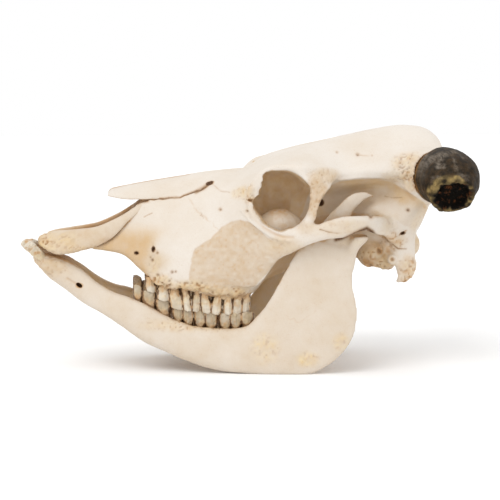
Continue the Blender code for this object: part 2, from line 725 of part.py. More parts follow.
def build():
    clear_scene()
    bone = material("bone", (0.84, 0.78, 0.68), 0.62)
    jaw_bone = material("jaw_bone", (0.82, 0.76, 0.67), 0.58)
    keratin = material("keratin", (0.13, 0.10, 0.07), 0.38)

    neighbours = []
    for word, side in SIDES.items():
        nasal, premaxilla, horn = nasal_object(side), premaxilla_object(side), horn_object(side)
        neighbours += [nasal, premaxilla, horn]
        finish_node(nasal, f"nasal_{word}", bone)
        finish_node(premaxilla, f"premaxilla_{word}", bone)
        finish_node(horn, f"horn_{word}", keratin)
        finish_node(mandible_object(side), f"mandible_{word}", jaw_bone)

    cranium, upper_jaws = upper_skull_objects(neighbours)
    finish_node(cranium, "cranium", bone)
    for word, upper_jaw in zip(SIDES, upper_jaws):
        finish_node(upper_jaw, f"maxilla_{word}", bone)


build()
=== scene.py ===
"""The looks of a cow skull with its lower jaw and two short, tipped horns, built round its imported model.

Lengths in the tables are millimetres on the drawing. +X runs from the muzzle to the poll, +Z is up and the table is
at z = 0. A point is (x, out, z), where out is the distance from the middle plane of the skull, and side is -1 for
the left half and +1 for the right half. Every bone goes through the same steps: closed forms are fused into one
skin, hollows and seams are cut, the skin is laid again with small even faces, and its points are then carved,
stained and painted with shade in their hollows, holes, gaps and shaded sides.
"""

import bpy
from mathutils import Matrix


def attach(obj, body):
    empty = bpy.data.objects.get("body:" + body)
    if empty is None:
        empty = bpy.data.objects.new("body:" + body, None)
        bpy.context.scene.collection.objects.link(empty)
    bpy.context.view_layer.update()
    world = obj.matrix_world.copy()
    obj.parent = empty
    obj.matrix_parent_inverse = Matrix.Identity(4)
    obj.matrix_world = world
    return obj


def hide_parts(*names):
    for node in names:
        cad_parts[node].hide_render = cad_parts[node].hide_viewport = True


bl_info = {
    "name": "Cow Skull",
    "version": (1, 0, 0),
    "blender": (4, 5, 0),
    "location": "3D Viewport > Sidebar > Skull",
    "description": "Builds the bones, teeth and horns of a cow skull round its packed model",
    "category": "Object",
}

from collections import namedtuple

import bmesh
import bpy
import numpy as np
from bpy.props import FloatProperty, FloatVectorProperty, PointerProperty
from mathutils import Matrix, Vector
from mathutils.bvhtree import BVHTree
from mathutils.kdtree import KDTree

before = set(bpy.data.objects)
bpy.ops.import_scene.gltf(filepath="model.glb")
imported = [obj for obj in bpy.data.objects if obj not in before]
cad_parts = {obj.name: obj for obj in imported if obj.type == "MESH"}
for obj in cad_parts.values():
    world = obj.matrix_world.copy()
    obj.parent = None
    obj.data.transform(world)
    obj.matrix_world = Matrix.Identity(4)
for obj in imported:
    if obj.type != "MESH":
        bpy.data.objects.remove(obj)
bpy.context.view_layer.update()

MM = 0.001
MIDDLE_X = -10.2
SIDES = {"left": -1.0, "right": 1.0}
BODY = "root"
STAIN_LAYER = "stains"
STAINS = ("brown", "dark", "grease", "beige")

# Air left round a horn sheath, in mm.
HORN_ROOM = 0.25
# The skull is cut this much less deep than the thin bones that lie in it, so that no slit shows beside them.
SHEET_ROOM = -0.8
# Thin bones are grown by this much before their skin is laid, because that thins them.
SHEET_GROWTH = 0.45
# Width of the seam on the middle plane.
SEAM = 0.3
# The upper jaw bones and the cranium run on this far into each other, so that only a carved line shows their seam.
SEAM_LAP = 2.0
# Farther out than any part of the skull.
FAR = 400.0
JAW_FRONT_TO_BACK = (-FAR, 0.0)
MIDDLE_BLOCK_HEIGHTS = (60, 260)
# Width of the fused faces in mm, and how often they are eased.
CRANIUM_CLAY = (2.4, 6)
JAW_CLAY = (2.0, 4)
SHEET_CLAY = (1.3, 2)

Rib = namedtuple("Rib", "upper lower thick bow", defaults=(0.0,))
Section = namedtuple("Section", "x top crown waist ledge base floor")
Lobe = namedtuple("Lobe", "front rear out width root crown neck lean", defaults=(0.8, 0.0))
Egg = namedtuple("Egg", "centre radii tilt", defaults=(0.0,))
Line = namedtuple("Line", "path radius depth brown dark wander", defaults=(0.0, 0.0, 0.0))
Pit = namedtuple("Pit", "centre radius depth brown dark", defaults=(0.6, 0.6))
Patch = namedtuple("Patch", "centre radii rough size brown grease beige", defaults=(0.0, 0.0, 0.0))

# Upright slices through the skull, from the front of the hard palate to the poll. Each pair is (out, z).
SKULL_SECTIONS = (
    Section(-189, 148, (16, 147), (24, 145.5), (27, 143.5), (24, 141), 141),
    Section(-170, 157, (23, 155), (29, 151), (32, 147), (29, 139), 141),
    Section(-150, 177, (25, 175), (32, 165), (36, 149), (33, 134), 138),
    Section(-130, 204, (25, 200), (35, 184), (43, 149), (41, 116), 132),
    Section(-108, 216, (27, 206), (42, 185), (54, 146), (57, 99.5), 126),
    Section(-75, 224, (31, 212), (48, 189), (69, 129), (62, 95.5), 118),
    Section(-47, 229, (38, 218), (57, 195), (72, 140), (62, 87.5), 112),
    Section(-18, 232, (60, 219), (80, 201), (81, 154), (59, 84), 107),
    Section(4, 238.5, (90, 228.5), (91, 204), (86, 162), (50, 95), 107),
    Section(24, 250, (98, 240.5), (54, 210), (66, 163), (40, 116), 119),
    Section(51, 259.5, (102, 242), (46, 205), (50, 168), (30, 123), 128),
    Section(78, 266, (93, 238), (45, 204), (46, 177), (28, 131), 133),
    Section(107, 272.5, (82, 235), (49, 206), (52, 181), (30, 136), 135),
    Section(140, 279.5, (82, 238), (55, 212), (72, 183), (36, 140), 139),
    Section(172, 285, (85, 238), (67, 214), (86, 180), (46, 145), 144),
    Section(194, 285, (86, 238), (84, 213), (80, 191), (46, 161), 159),
    Section(212, 281, (80, 240), (76, 220), (60, 206), (28, 195), 192),
    Section(226, 270, (62, 248), (54, 243), (42, 237), (24, 231), 230),
)

# Cheek bone and zygomatic arch, from the facial tuber back to the root on the temple.
CHEEK_RIBS = (
    Rib((-62, 62, 153), (-62, 64, 115), 12),
    Rib((-24, 76, 176), (-26, 69, 101), 14),
    Rib((5, 87, 178), (4, 73, 102), 13),
    Rib((23, 94, 174), (25, 85, 131.5), 11),
    Rib((43, 100, 172), (43, 95, 143), 11),
    Rib((63, 104, 174), (62, 102, 153), 11),
    Rib((81, 105, 181), (82, 105, 159), 10.5),
    Rib((101, 102, 185.5), (102, 102, 160.5), 10.5),
    Rib((125, 96, 185.5), (123, 95, 168), 12),
    Rib((146, 84, 184), (143, 83, 161), 16),
    Rib((163, 68, 183), (161, 66, 157), 18),
)

# The bar of bone behind the eye socket, from the brow down to the cheek bone.
ORBIT_BAR_RIBS = (
    Rib((57, 92, 240), (101, 76, 231), 10),
    Rib((60, 99, 227), (88, 91, 221), 9),
    Rib((61, 102, 210), (77, 98, 206), 8),
    Rib((59, 103, 192), (69, 102, 190), 8),
    Rib((54, 103, 178), (65, 104, 176), 9),
    Rib((50, 101, 165), (66, 104, 165), 8),
)

ORBIT_CENTRE = (28.5, 96, 204)
ORBIT_RIM_RADII = (36, 38)
ORBIT_RIM_THICK = 3.8
ORBIT_RIM_SIDES = 56
ORBIT_RIM_TUBE_SIDES = 12
ORBIT_LEAN = 8.0
# Outline of the eye socket's opening, as (x, z), and its share of that size further in, as (out, share).
ORBIT_OUTLINE = (
    (10.3, 237), (25, 238.3), (38.8, 237.5), (50.3, 231.2), (59.4, 222), (62.5, 215), (60.6, 207.2), (57.2, 196.9),
    (53.8, 187.7), (49.3, 179.7), (42.4, 174), (35.6, 169.5), (28.7, 166.5), (18.4, 169.6), (11.5, 174.3),
    (2.9, 184.6), (-1.7, 191.5), (-4.7, 198.4), (-3.3, 204.1), (1.7, 209.8), (4, 217.7), (6.8, 229.1),
)
ORBIT_DEPTHS = (
    (128, 1.06), (104, 1.01), (95, 0.97), (85, 0.93), (74, 0.92), (60, 0.88), (50, 0.76), (42, 0.48), (38.2, 0.12),
)
ORBIT_RAGGED = 2.7
TEAR_BONE_DOME = Egg((29, 64, 167), (28, 17, 24))

# Flat prongs beside and below the hinge of the skull on the neck.
JUGULAR_RIBS = (
    Rib((163, 66, 169), (190, 64, 167), 12),
    Rib((163, 63, 146), (190, 61, 144), 9),
    Rib((164, 62, 126), (192, 61, 124), 7.5),
    Rib((168, 61, 112), (190, 60, 112), 6.5),
    Rib((165, 60, 101), (181, 59, 103), 5.5),
)
PTERYGOID_RIBS = (
    Rib((6, 36, 125), (2, 38, 97), 7),
    Rib((18, 33, 147), (16, 35, 103), 5),
    Rib((35, 29, 157), (35, 31, 109), 4.5),
    Rib((57, 25, 158), (55, 26, 122), 4.5),
    Rib((73, 22, 148), (71, 22, 132), 5),
)
CONDYLE = Egg((185, 31, 145), (15.5, 16, 16.5))
BULLA = Egg((141, 43, 134), (18, 11, 15))
BULLA_REAR = Egg((157, 47, 129), (13, 10, 12.5))
EAR_TUBE = Egg((160, 66, 160), (10, 14, 10))
EAR_RING = Egg((162, 59, 131), (7, 9, 7))
# Closes the chink between the ear tube and the bulla.
EAR_FILL = Egg((159, 54, 146), (10, 9, 10))
EAR_RING_PLACE = (162, 66, 131)
SPINAL_HOLE = Egg((202, 0, 147), (34, 15, 14))

# The short bone stump that carries the horn.
HORN_CORE_RIBS = (
    Rib((184, 38, 262), (184, 38, 197), 72),
    Rib((200, 60, 261), (200, 60, 196), 72),
    Rib((211, 76, 259.5), (211, 76, 197), 65),
    Rib((215, 92, 257.5), (215, 92, 198.5), 58),
)

# The open nose, a passage under the nasal bones. Each rib goes from right to left.
NOSE_PASSAGE_RIBS = (
    Rib((-215, 23, 196), (-215, -23, 196), 104),
    Rib((-180, 23, 196), (-180, -23, 196), 100),
    Rib((-152, 25, 192), (-152, -25, 192), 94),
    Rib((-130, 25, 173), (-130, -25, 173), 60),
    Rib((-105, 26, 171), (-105, -26, 171), 62),
    Rib((-84, 22, 171), (-84, -22, 171), 52),
    Rib((-76, 10, 171), (-76, -10, 171), 26),
)
# The rear mouth of the nose, above the end of the palate.
CHOANA_RIBS = (
    Rib((-8, 16, 122), (-8, -16, 122), 14),
    Rib((10, 21, 122), (10, -21, 122), 30),
    Rib((40, 21, 117), (40, -21, 117), 34),
    Rib((66, 14, 111), (66, -14, 111), 26),
)

# Openings for nerves and blood vessels, and a gap beside the rear end of the nasal bone.
SKULL_HOLES = (
    Egg((-116.3, 52, 143.3), (1.6, 7.0, 3.0), 25),
    Egg((-135.6, 42, 138), (2.6, 6.0, 1.7), 10),
    Egg((-49.5, 34, 219.2), (4.4, 4.0, 2.4), -12),
    Egg((80, 45, 196), (3.4, 8.0, 3.4)),
    Egg((60, 90, 211), (2.6, 9.0, 2.6)),
    Egg((173, 72, 162.5), (3.0, 5.0, 1.5), -40),
    Egg((-5, 90, 203.5), (7.5, 8.0, 1.6), 8),
)
JAW_HOLES = (Egg((-203, 34, 99.5), (4.0, 8.0, 2.3), 35),)

# The line, seen from the side as (x, z), that parts the upper jaw bones from the rest of the skull.
UPPER_JAW_SEAM = (
    (-77, 270), (-77, 204), (-65, 188), (-48, 174), (-37, 163), (-19, 142), (-5, 126), (9, 112), (13, 70),
)

NASAL_RIBS = (
    Rib((-164, 4, 209.8), (-169.5, 24, 204.3), 2.8, 1.2),
    Rib((-149, 0.3, 212.5), (-150, 28, 200.5), 3.4, 4.0),
    Rib((-117, 0.3, 219), (-116, 30, 200), 3.6, 5.0),
    Rib((-85, 0.3, 224.5), (-83, 31, 201), 3.8, 5.0),
    Rib((-56, 0.3, 229), (-55, 31, 211), 4.0, 4.0),
    Rib((-30, 0.3, 231.5), (-28, 26, 220), 4.0, 2.5),
    Rib((-7, 0.3, 233), (-7, 11, 229), 4.0, 1.0),
)
NASAL_NOTCH = ((-190, 17.5), (-151, 15), (-190, 11.5))
NASAL_HEIGHTS = (150, 260)

PREMAXILLA_RIBS = (
    Rib((-252, 5, 151), (-250.5, 18, 146), 4),
    Rib((-245.5, 3, 154.5), (-242, 29, 142.5), 9),
    Rib((-232, 4, 159.5), (-227, 36, 138), 13),
    Rib((-212, 16, 162.5), (-209, 37, 139.5), 12),
    Rib((-194, 23, 165.5), (-197, 36, 142), 9),
    Rib((-179, 28, 169), (-184, 33, 144.5), 7),
    Rib((-159, 29, 178), (-163, 33, 156), 5.5),
    Rib((-145, 29, 186), (-149, 33, 171), 5),
    Rib((-133, 28.5, 194), (-136, 32, 182), 4),
    Rib((-124, 28, 198), (-126, 30, 191), 3),
)
PALATINE_BAR_RIBS = (
    Rib((-239, 3, 152), (-238, 9, 142), 7),
    Rib((-214, 2, 150), (-214, 8, 143), 6),
    Rib((-184, 2, 148.5), (-184, 7, 144.5), 5),
    Rib((-165, 2, 148), (-165, 6, 145.5), 4),
)

# Middle line of the left-over horn, and its radius there. It droops, and its end is cut off facing down and out.
HORN_PATH = (
    (215, 84, 228), (216, 104, 230), (217, 124, 229), (216, 141, 225), (215, 151.5, 219.5), (214, 159.5, 212.5),
)
HORN_RADII = (32.5, 34, 34, 32.5, 29.5, 26)
HORN_CLAY_POINTS = 36

# Body and upright branch of one half of the lower jaw. Each rib goes from the mouth side to the table side.
JAW_RIBS = (
    Rib((-255, 8, 138), (-254, 8, 127), 18),
    Rib((-243, 13, 135), (-249, 12, 119), 28),
    Rib((-224, 15, 131), (-239, 14, 107), 30),
    Rib((-203, 21, 119), (-221, 21, 94), 24),
    Rib((-183, 30, 103), (-199, 32, 78), 17),
    Rib((-163, 37, 92), (-176, 40, 66), 16),
    Rib((-143, 45, 86), (-155, 48, 53), 17),
    Rib((-119, 51, 76), (-130, 55, 36), 19),
    Rib((-95, 56, 63), (-104, 60, 24), 22),
    Rib((-67, 60, 54), (-72, 66, 11), 23),
    Rib((-38, 64, 52), (-41, 71, 2.5), 22),
    Rib((-11, 68, 54), (-6, 77, -0.5), 20),
    Rib((3, 72, 67), (32, 82, -2.5), 17),
    Rib((13, 75, 80), (67, 86, 0.5), 13),
    Rib((21, 77, 94), (97, 89, 19), 10),
    Rib((28, 79, 108), (115, 90, 46), 9),
    Rib((36, 81, 123), (118, 90, 78), 8.5),
    Rib((43, 83, 137), (113, 89, 104), 8.5),
    Rib((50, 84, 148), (114, 88, 126), 8.5),
    Rib((62, 85, 158), (116, 86, 142), 8),
)
CORONOID_RIBS = (
    Rib((46, 83, 136), (104, 86, 128), 7),
    Rib((66, 84, 162), (112, 83, 157), 6.5),
    Rib((82, 81, 182), (110, 79, 172), 6),
    Rib((98, 78, 198), (115, 76, 188), 5.5),
    Rib((113, 75, 209.5), (125, 74, 198), 5),
    Rib((129, 72, 211.5), (134, 72, 204), 4.5),
    Rib((141, 70, 205), (140, 70, 202), 3),
)
JAW_HINGE_RIBS = (
    Rib((102, 88, 124), (114, 88, 122), 9),
    Rib((105, 85, 143), (119, 85, 143), 12),
    Rib((108, 82, 155), (130, 82, 155), 27),
    Rib((111, 82, 161.5), (131, 82, 161.5), 27),
)

# Lobes of the cheek teeth. The neck is the share of the lobe's length left at its root, which leans back by lean.
UPPER_LOBES = (
    Lobe(-125, -113.2, 44, 14, 110, (95, 92.5), 0.55, -1.5),
    Lobe(-112.2, -98, 47, 17, 106, (84.8, 83), 0.62, 1.5),
    Lobe(-96.2, -81.5, 49, 18, 106, (75.4, 72.6), 0.55, -5.0),
    Lobe(-81.5, -71.8, 50, 20, 106, (72.4, 71.6), 0.75, -4.5),
    Lobe(-72.4, -62.6, 50, 20, 104, (71.6, 70.8), 0.75, 3.0),
    Lobe(-60.5, -49.5, 51, 21, 102, (70.2, 68.9), 0.7, -4.0),
    Lobe(-49.9, -38.5, 51, 21, 100, (68.9, 67.8), 0.62, 4.0),
    Lobe(-35, -24.6, 51, 21, 98, (67.7, 67.9), 0.75, 0.0),
    Lobe(-25, -13.2, 50, 20, 98, (67.9, 68.8), 0.72, 1.0),
    Lobe(-13.6, -4, 49, 18, 98, (68.8, 70), 0.75, 1.5),
)
LOWER_LOBES = (
    Lobe(-140, -130, 41, 9, 78, (101, 98.5), 0.6, 0.5),
    Lobe(-129, -114, 43, 11, 68, (94, 91.6), 0.72, 0.0),
    Lobe(-113, -97.4, 45, 13, 58, (84.1, 82.2), 0.72, 0.0),
    Lobe(-94, -82.2, 47, 15, 46, (74.2, 71.9), 0.3, 0.0),
    Lobe(-82.6, -71, 48, 15, 42, (71.9, 70.7), 0.3, 1.0),
    Lobe(-68.5, -56.4, 49, 16, 38, (70.5, 69), 0.3, 0.0),
    Lobe(-56.8, -43, 50, 16, 36, (69, 67.4), 0.3, 1.0),
    Lobe(-39.5, -27.2, 51, 16, 36, (67.2, 67), 0.3, 1.0),
    Lobe(-27.6, -14.2, 52, 16, 36, (67, 67.6), 0.3, 1.0),
    Lobe(-14.6, 0, 54, 13, 40, (67.6, 69.2), 0.35, 1.0),
)

INCISOR_COUNT = 4
INCISOR_ROOT = (-247, 6.5, 128)
INCISOR_CROWN = (-268.5, 6.5, 150)
INCISOR_TOP = 150.2
INCISOR_ROOT_STEP = (2.2, 4.2, -0.5)
INCISOR_CROWN_STEP = (3.4, 7.4, -2.4)
INCISOR_WIDTH = 9.0
INCISOR_WIDTH_STEP = -0.5
INCISOR_TURN_STEP = 0.25
INCISOR_POINTS = 20
INCISOR_LEVELS = (
    (-0.3, 0.55, 7.0), (0.1, 0.65, 8.5), (0.35, 0.8, 10.0), (0.6, 0.95, 12.0), (0.82, 1.0, 13.0), (1.0, 0.92, 11.0),
)

# Cracks and seams of the upper skull.
NASAL_FISSURE = (
    (-138, 26, 196), (-131.4, 27, 198.8), (-116.2, 30.8, 200.4), (-101, 33.6, 201.7), (-84.7, 36, 203.1),
    (-73, 36.9, 207.7), (-61.2, 37.1, 212.3), (-55.3, 36, 215.7), (-49.3, 33, 220.1),
)
SKULL_LINES = (
    Line(NASAL_FISSURE, 1.25, 1.3, 1.0, 0.8, 0.9),
    Line(((-138, 27, 196), (-131, 28, 197.5), (-123, 29.5, 199)), 2.6, 1.2, 0.9, 0.5, 0.4),
    Line(((-66, 37, 209), (-58, 37, 213), (-50, 34, 219)), 2.4, 1.2, 0.9, 0.55, 0.4),
    Line(((-49, 33, 219), (-43.9, 42.8, 216.2), (-40, 52, 212), (-29, 64, 210.5)), 0.9, 0.5, 0.35, 0.1, 1.2),
    Line(((72, 109, 171), (82, 109, 168), (92, 107, 167), (98, 105, 166.5)), 0.9, 0.7, 0.8, 0.6, 0.5),
    Line(((121, 60, 253.5), (128, 61, 252), (134, 62, 251.5)), 1.0, 0.6, 0.4, 0.1, 0.3),
    Line(((153, 63, 205), (160, 67, 203.5), (171.5, 73, 203.4)), 0.7, 0.3, 0.5, 0.4, 0.8),
    Line(((160, 68, 206), (161, 67, 198)), 0.6, 0.3, 0.5, 0.4, 0.4),
    Line(((162, 66, 148), (168.7, 65.6, 144), (178, 65, 143)), 1.1, 0.8, 0.8, 0.6, 0.6),
    Line(((169.8, 72, 160.2), (173, 73, 162.5), (176.5, 73.4, 165)), 1.3, 0.8, 0.9, 0.3, 0.2),
    Line(((-127, 37.5, 180), (-122, 38.2, 182.5), (-117.5, 39.1, 184.7)), 0.6, 0.3, 0.6, 0.2, 0.3),
    Line(((-62, 54.6, 183.6), (-58.7, 56.8, 181.5)), 0.6, 0.3, 0.6, 0.2, 0.2),
    Line(((-61, 54, 186), (-58, 57, 180)), 0.5, 0.3, 0.5, 0.2, 0.2),
)
# Raised edges of bone: the lower rim of the eye socket, the crest over the temple and the edge of the brow.
SKULL_RIDGES = (
    Line(((-16, 85, 191), (-10, 88, 185), (-6.2, 89, 179.4), (7.2, 94, 169.4), (16.3, 95, 162.5),
          (27.5, 98, 158.2), (38.6, 101, 157.3)), 1.7, -1.5),
    Line(((66, 105, 182), (67, 105, 191), (73, 103, 208.7), (84.6, 97, 218.5), (98.3, 82, 225.5), (115.6, 81, 228),
          (144.7, 81, 228), (160, 80, 223.5), (173.4, 82, 216), (186, 82, 208), (197, 80, 200), (205, 76, 192)),
         1.7, -1.6),
)
# Valleys beside those edges, brown with painted shade in their creases.
SKULL_VALLEYS = (
    Line(((-8, 88, 190), (0, 91, 180), (9, 94, 172.5), (19, 96, 166.5), (30, 98, 162), (42, 101, 162)),
         1.7, 0.9, 0.5, 0.0, 0.3),
    Line(((71, 98, 187), (75, 98, 201), (86, 92, 213), (99, 78, 219.5), (116, 76, 222), (145, 75, 223), (158, 75, 218),
          (172, 78, 210.5), (185, 79, 202), (196, 77, 195), (202, 74, 189)), 2.6, 0.9, 0.6, 0.0, 0.6),
    Line(((139, 84, 160), (147, 78, 160), (155, 72, 152), (160, 68, 147)), 2.8, 1.0, 0.9, 0.7, 0.5),
)
# Lines along the middle plane and across the roof of the skull.
ROOF_LINES = (
    Line(((-7, 0, 234), (40, 0, 256), (100, 0, 271), (160, 0, 284), (200, 0, 285)), 0.7, 0.35, 0.25, 0.0, 1.6),
    Line(((-7, 11, 231), (-30, 27, 221), (-43, 33, 218)), 0.7, 0.4, 0.3, 0.0, 0.8),
)
SKULL_PITS = (
    Pit((-118, 52, 131), 1.6, 2.2), Pit((-95, 64, 118), 1.4, 1.8), Pit((-91, 64, 118.6), 1.1, 1.4),
    Pit((-112, 57, 114), 1.5, 2.0), Pit((-104.3, 57, 103.3), 1.5, 2.6, 0.4, 1.0), Pit((-97, 61, 103.7), 1.2, 1.6),
    Pit((-39, 65, 190.6), 1.3, 1.4, 0.6, 0.4), Pit((-9.7, 89, 190.9), 1.2, 1.2), Pit((132.4, 92, 184), 2.0, 2.2),
    Pit((121.2, 63, 253.8), 1.5, 2.2, 0.7, 1.0), Pit((177, 82, 190.4), 1.6, 2.2, 0.7, 1.0),
    Pit((62.5, 93, 205.5), 2.2, 1.5, 0.9, 1.0),
    Pit((-112, 53, 139.5), 1.3, 1.4, 0.6, 0.5), Pit((-120, 50, 134), 1.2, 1.2, 0.5, 0.3),
    Pit((75.6, 96, 232), 0.9, 1.0, 0.5, 0.3), Pit((82, 99, 215), 0.9, 1.0, 0.4, 0.3),
    Pit((78.8, 98.5, 224.3), 0.8, 1.0, 0.4, 0.3),
    Pit((97.7, 54.4, 256), 1.1, 1.2, 0.5, 0.3), Pit((137.3, 64.7, 252.5), 0.8, 0.8, 0.4, 0.2),
    Pit((-62, 66, 99.5), 1.4, 1.8, 0.7, 0.5), Pit((-74, 66, 103), 1.2, 1.4, 0.6, 0.4),
    Pit((-48, 66, 93), 1.4, 1.8, 0.7, 0.5),
    Pit((-86, 63, 101.5), 1.3, 1.6, 0.6, 0.5), Pit((-30, 66, 91), 1.2, 1.4, 0.6, 0.4),
)
JAW_LINES = (
    Line(((-217.6, 30.9, 107.9), (-210, 33, 103.5), (-205, 34.5, 100.5)), 1.3, 0.7, 0.4, 0.1, 0.3),
    Line(((-60, 66, 40), (-40, 70, 33), (-18, 75, 36)), 0.7, 0.2, 0.25, 0.0, 2.4),
    Line(((30, 86, 70), (52, 88, 62), (70, 90, 74)), 0.7, 0.2, 0.25, 0.0, 2.6),
)

# The field of bone on the cheek, as (x, z), painted darker as shade of its down-facing bone, with mottling. It lies a
# little lower than the bone in front of it.
CHEEK_FIELD = (
    (-62, 92), (-70, 100), (-76, 110), (-75, 120), (-72.1, 128.3), (-73.2, 134.8), (-68.4, 145.1),
    (-59.2, 152.1), (-50.1, 157), (-44.3, 163.9), (-37.4, 171), (-28.4, 177.2), (-17.3, 180.1), (-6.2, 178.2),
    (2.8, 171.5), (11.8, 162.4), (22, 155.6), (34, 152), (30, 138), (10, 112), (-4, 98), (-20, 84), (-50, 84),
)
CHEEK_FIELD_DEPTH = 0.6
# The hollow of the temple, stained and painted with shade, between the crest above, the bar behind the eye and the
# arch, as (x, z).
TEMPLE_FIELD = (
    (64, 178), (66, 190), (73, 207), (84, 217), (98, 223.5), (116, 226), (145, 226), (160, 221.5), (173, 214),
    (186, 206), (197, 198), (205, 190), (203, 172), (190, 166), (172, 172), (156, 184), (140, 184), (118, 185),
    (96, 184), (78, 180),
)

# Rough, worn or stained areas: centre, reach, height and size of the roughness, and stains.
SKULL_PATCHES = (
    Patch((-108, 56, 102), (28, 22, 19), 3.4, 5.0, 0.70, 0.90, 0.7),
    Patch((-72, 64, 97), (36, 24, 17), 3.2, 5.2, 0.66, 0.85, 0.8),
    Patch((-28, 64, 91), (38, 28, 15), 2.6, 5.0, 0.58, 0.80, 0.8),
    Patch((-127, 46, 106), (8, 12, 12), 0.8, 3.4, 0.95, 0.20, 0.5),
    Patch((-118, 50, 122), (20, 16, 16), 0.8, 4.4, 0.20, 0.40, 0.2),
    Patch((-122, 50, 150), (12, 12, 9), 0.3, 3.4, 0.16, 0.05, 0.7),
    Patch((-12, 92, 212), (15, 20, 18), 1.8, 4.2, 0.42, 0.65, 0.4),
    Patch((-20, 80, 213), (18, 22, 13), 0.9, 3.8, 0.30, 0.60, 0.3),
    Patch((4, 88, 190), (22, 18, 14), 0.3, 3.4, 0.20, 0.30, 0.3),
    # On the bar behind the eye socket the beige and brown are partly tan bone and partly painted shade.
    Patch((70, 99, 205), (20, 22, 40), 0.7, 3.0, 0.42, 0.00, 1.3),
    Patch((70, 99, 205), (20, 22, 40), 0.0, 9.0, 0.30, 0.00, 0.0),
    Patch((60, 98, 172), (22, 16, 16), 0.4, 3.2, 0.24, 0.10, 0.9),
    Patch((78, 92, 230), (30, 20, 14), 0.6, 3.2, 0.24, 0.12, 0.8),
    Patch((30, 98, 150), (40, 18, 18), 0.3, 4.0, 0.16, 0.20, 0.75),
    Patch((176, 80, 242), (24, 26, 26), 1.6, 4.2, 0.42, 0.50, 0.3),
    Patch((180, 88, 226), (20, 24, 20), 1.8, 4.0, 0.48, 0.50, 0.4),
    Patch((168, 74, 230), (30, 20, 14), 1.0, 4.0, 0.34, 0.40, 0.3),
    Patch((180, 62, 118), (18, 14, 26), 0.9, 4.2, 0.55, 0.40, 0.5),
    Patch((182, 62, 105), (13, 12, 12), 1.4, 3.8, 1.00, 0.20, 0.4),
    # Round the bulla the brown and grease are painted shade, over rough bone.
    Patch((146, 50, 130), (34, 28, 26), 1.8, 5.0, 0.60, 0.30, 0.9),
    Patch((146, 50, 130), (36, 32, 30), 0.0, 16.0, 1.10, 0.70, 0.0),
    Patch((-122, 48, 128), (46, 26, 24), 0.0, 9.0, 0.10, 0.10, 0.9),
    Patch((148, 78, 172), (26, 24, 24), 0.2, 4.0, 0.12, 0.20, 0.45),
    Patch((190, 34, 146), (18, 22, 20), 0.3, 4.0, 0.25, 0.55, 0.6),
    # Past the end of the chink, towards the ear tube, the brown is painted shade, over rough bone.
    Patch((158, 68, 154), (26, 24, 22), 0.8, 4.6, 0.60, 0.30, 0.6),
    Patch((150, 70, 156), (11, 16, 9), 0.5, 3.6, 1.10, 0.00, 0.6),
    Patch((192, 74, 184), (20, 20, 40), 0.3, 4.0, 0.16, 0.30, 0.5),
    Patch((95, 103, 172), (60, 22, 16), 0.2, 4.0, 0.14, 0.15, 0.55),
)
MUZZLE_PATCHES = (
    Patch((-244, 16, 150), (17, 28, 18), 2.4, 4.8, 0.65, 0.95, 0.5),
    Patch((-225, 25, 147), (34, 30, 20), 0.8, 5.0, 0.26, 0.50, 0.6),
    Patch((-200, 33, 142), (42, 14, 8), 0.5, 3.4, 0.50, 0.30, 0.5),
    Patch((-205, 33, 152), (60, 30, 26), 0.0, 12.0, 0.20, 0.00, 1.2),
)
MUZZLE_LINES = (
    Line(((-235.4, 11.6, 157.5), (-230, 17, 156), (-225.5, 23, 154)), 0.8, 0.7, 0.7, 0.5, 0.3),
    Line(((-190, 34, 143.5), (-175, 28.5, 148.7), (-164.5, 30.6, 153.6), (-155, 30, 164)), 1.1, 0.4, 0.8, 0.3, 0.5),
)
NASAL_LINES = (
    Line(((-165, 4, 210.5), (-130, 2, 217.5), (-101.5, 2, 222.8), (-71.8, 2, 227)), 1.6, 0.2, 0.75, 0.15, 0.8),
    Line(((-170, 14, 207), (-162, 12, 209.5), (-153, 11, 211.8), (-146, 9, 213.5)), 0.9, 0.9, 0.8, 0.4, 0.2),
)
JAW_PATCHES = (
    Patch((12, 82, 30), (22, 30, 24), 0.5, 4.6, 0.22, 0.60, 0.4),
    Patch((61, 90, 18), (18, 30, 12), 0.8, 4.4, 0.28, 0.70, 0.4),
    Patch((99, 92, 38), (14, 30, 14), 0.8, 4.4, 0.26, 0.60, 0.4),
    Patch((-236, 20, 122), (36, 34, 26), 1.1, 4.6, 0.26, 0.15, 1.00),
    Patch((-250, 14, 134), (14, 26, 12), 2.0, 4.4, 0.80, 0.30, 0.9),
    Patch((-60, 62, 56), (90, 24, 12), 0.8, 4.0, 0.45, 0.45, 0.4),
    Patch((112, 86, 158), (24, 18, 12), 0.3, 3.6, 0.20, 0.25, 0.5),
)
# Edges of the bone along the tooth rows, scalloped, with brown and dark that are stain and painted shade where the
# teeth go in.
UPPER_GUM = (
    (-126, 50, 99), (-113, 53, 97), (-97, 56, 99), (-82, 58, 99), (-62.5, 60, 97), (-47, 61, 89), (-33, 62, 88),
    (-4, 60, 87.4),
)
LOWER_GUM = (
    (-140, 46, 88), (-129, 48, 85), (-113, 51, 74), (-94, 54, 64), (-80, 56, 59), (-68, 57, 54), (-39, 59, 53),
    (-30, 60, 52), (-10, 61, 56), (2, 62, 62),
)
GUM_LINES = (Line(UPPER_GUM, 3.4, 0.5, 0.7, 0.35, 2.4), Line(LOWER_GUM, 3.4, 0.5, 0.85, 0.5, 1.6))
# The chink between the cheek arch and the hinge of the lower jaw, as (x, z), along which shade is painted.
HINGE_CHINK = ((93, 157), (99.3, 158.6), (113.1, 165.3), (126.9, 171), (133.9, 166.3), (139.8, 157), (146, 150))


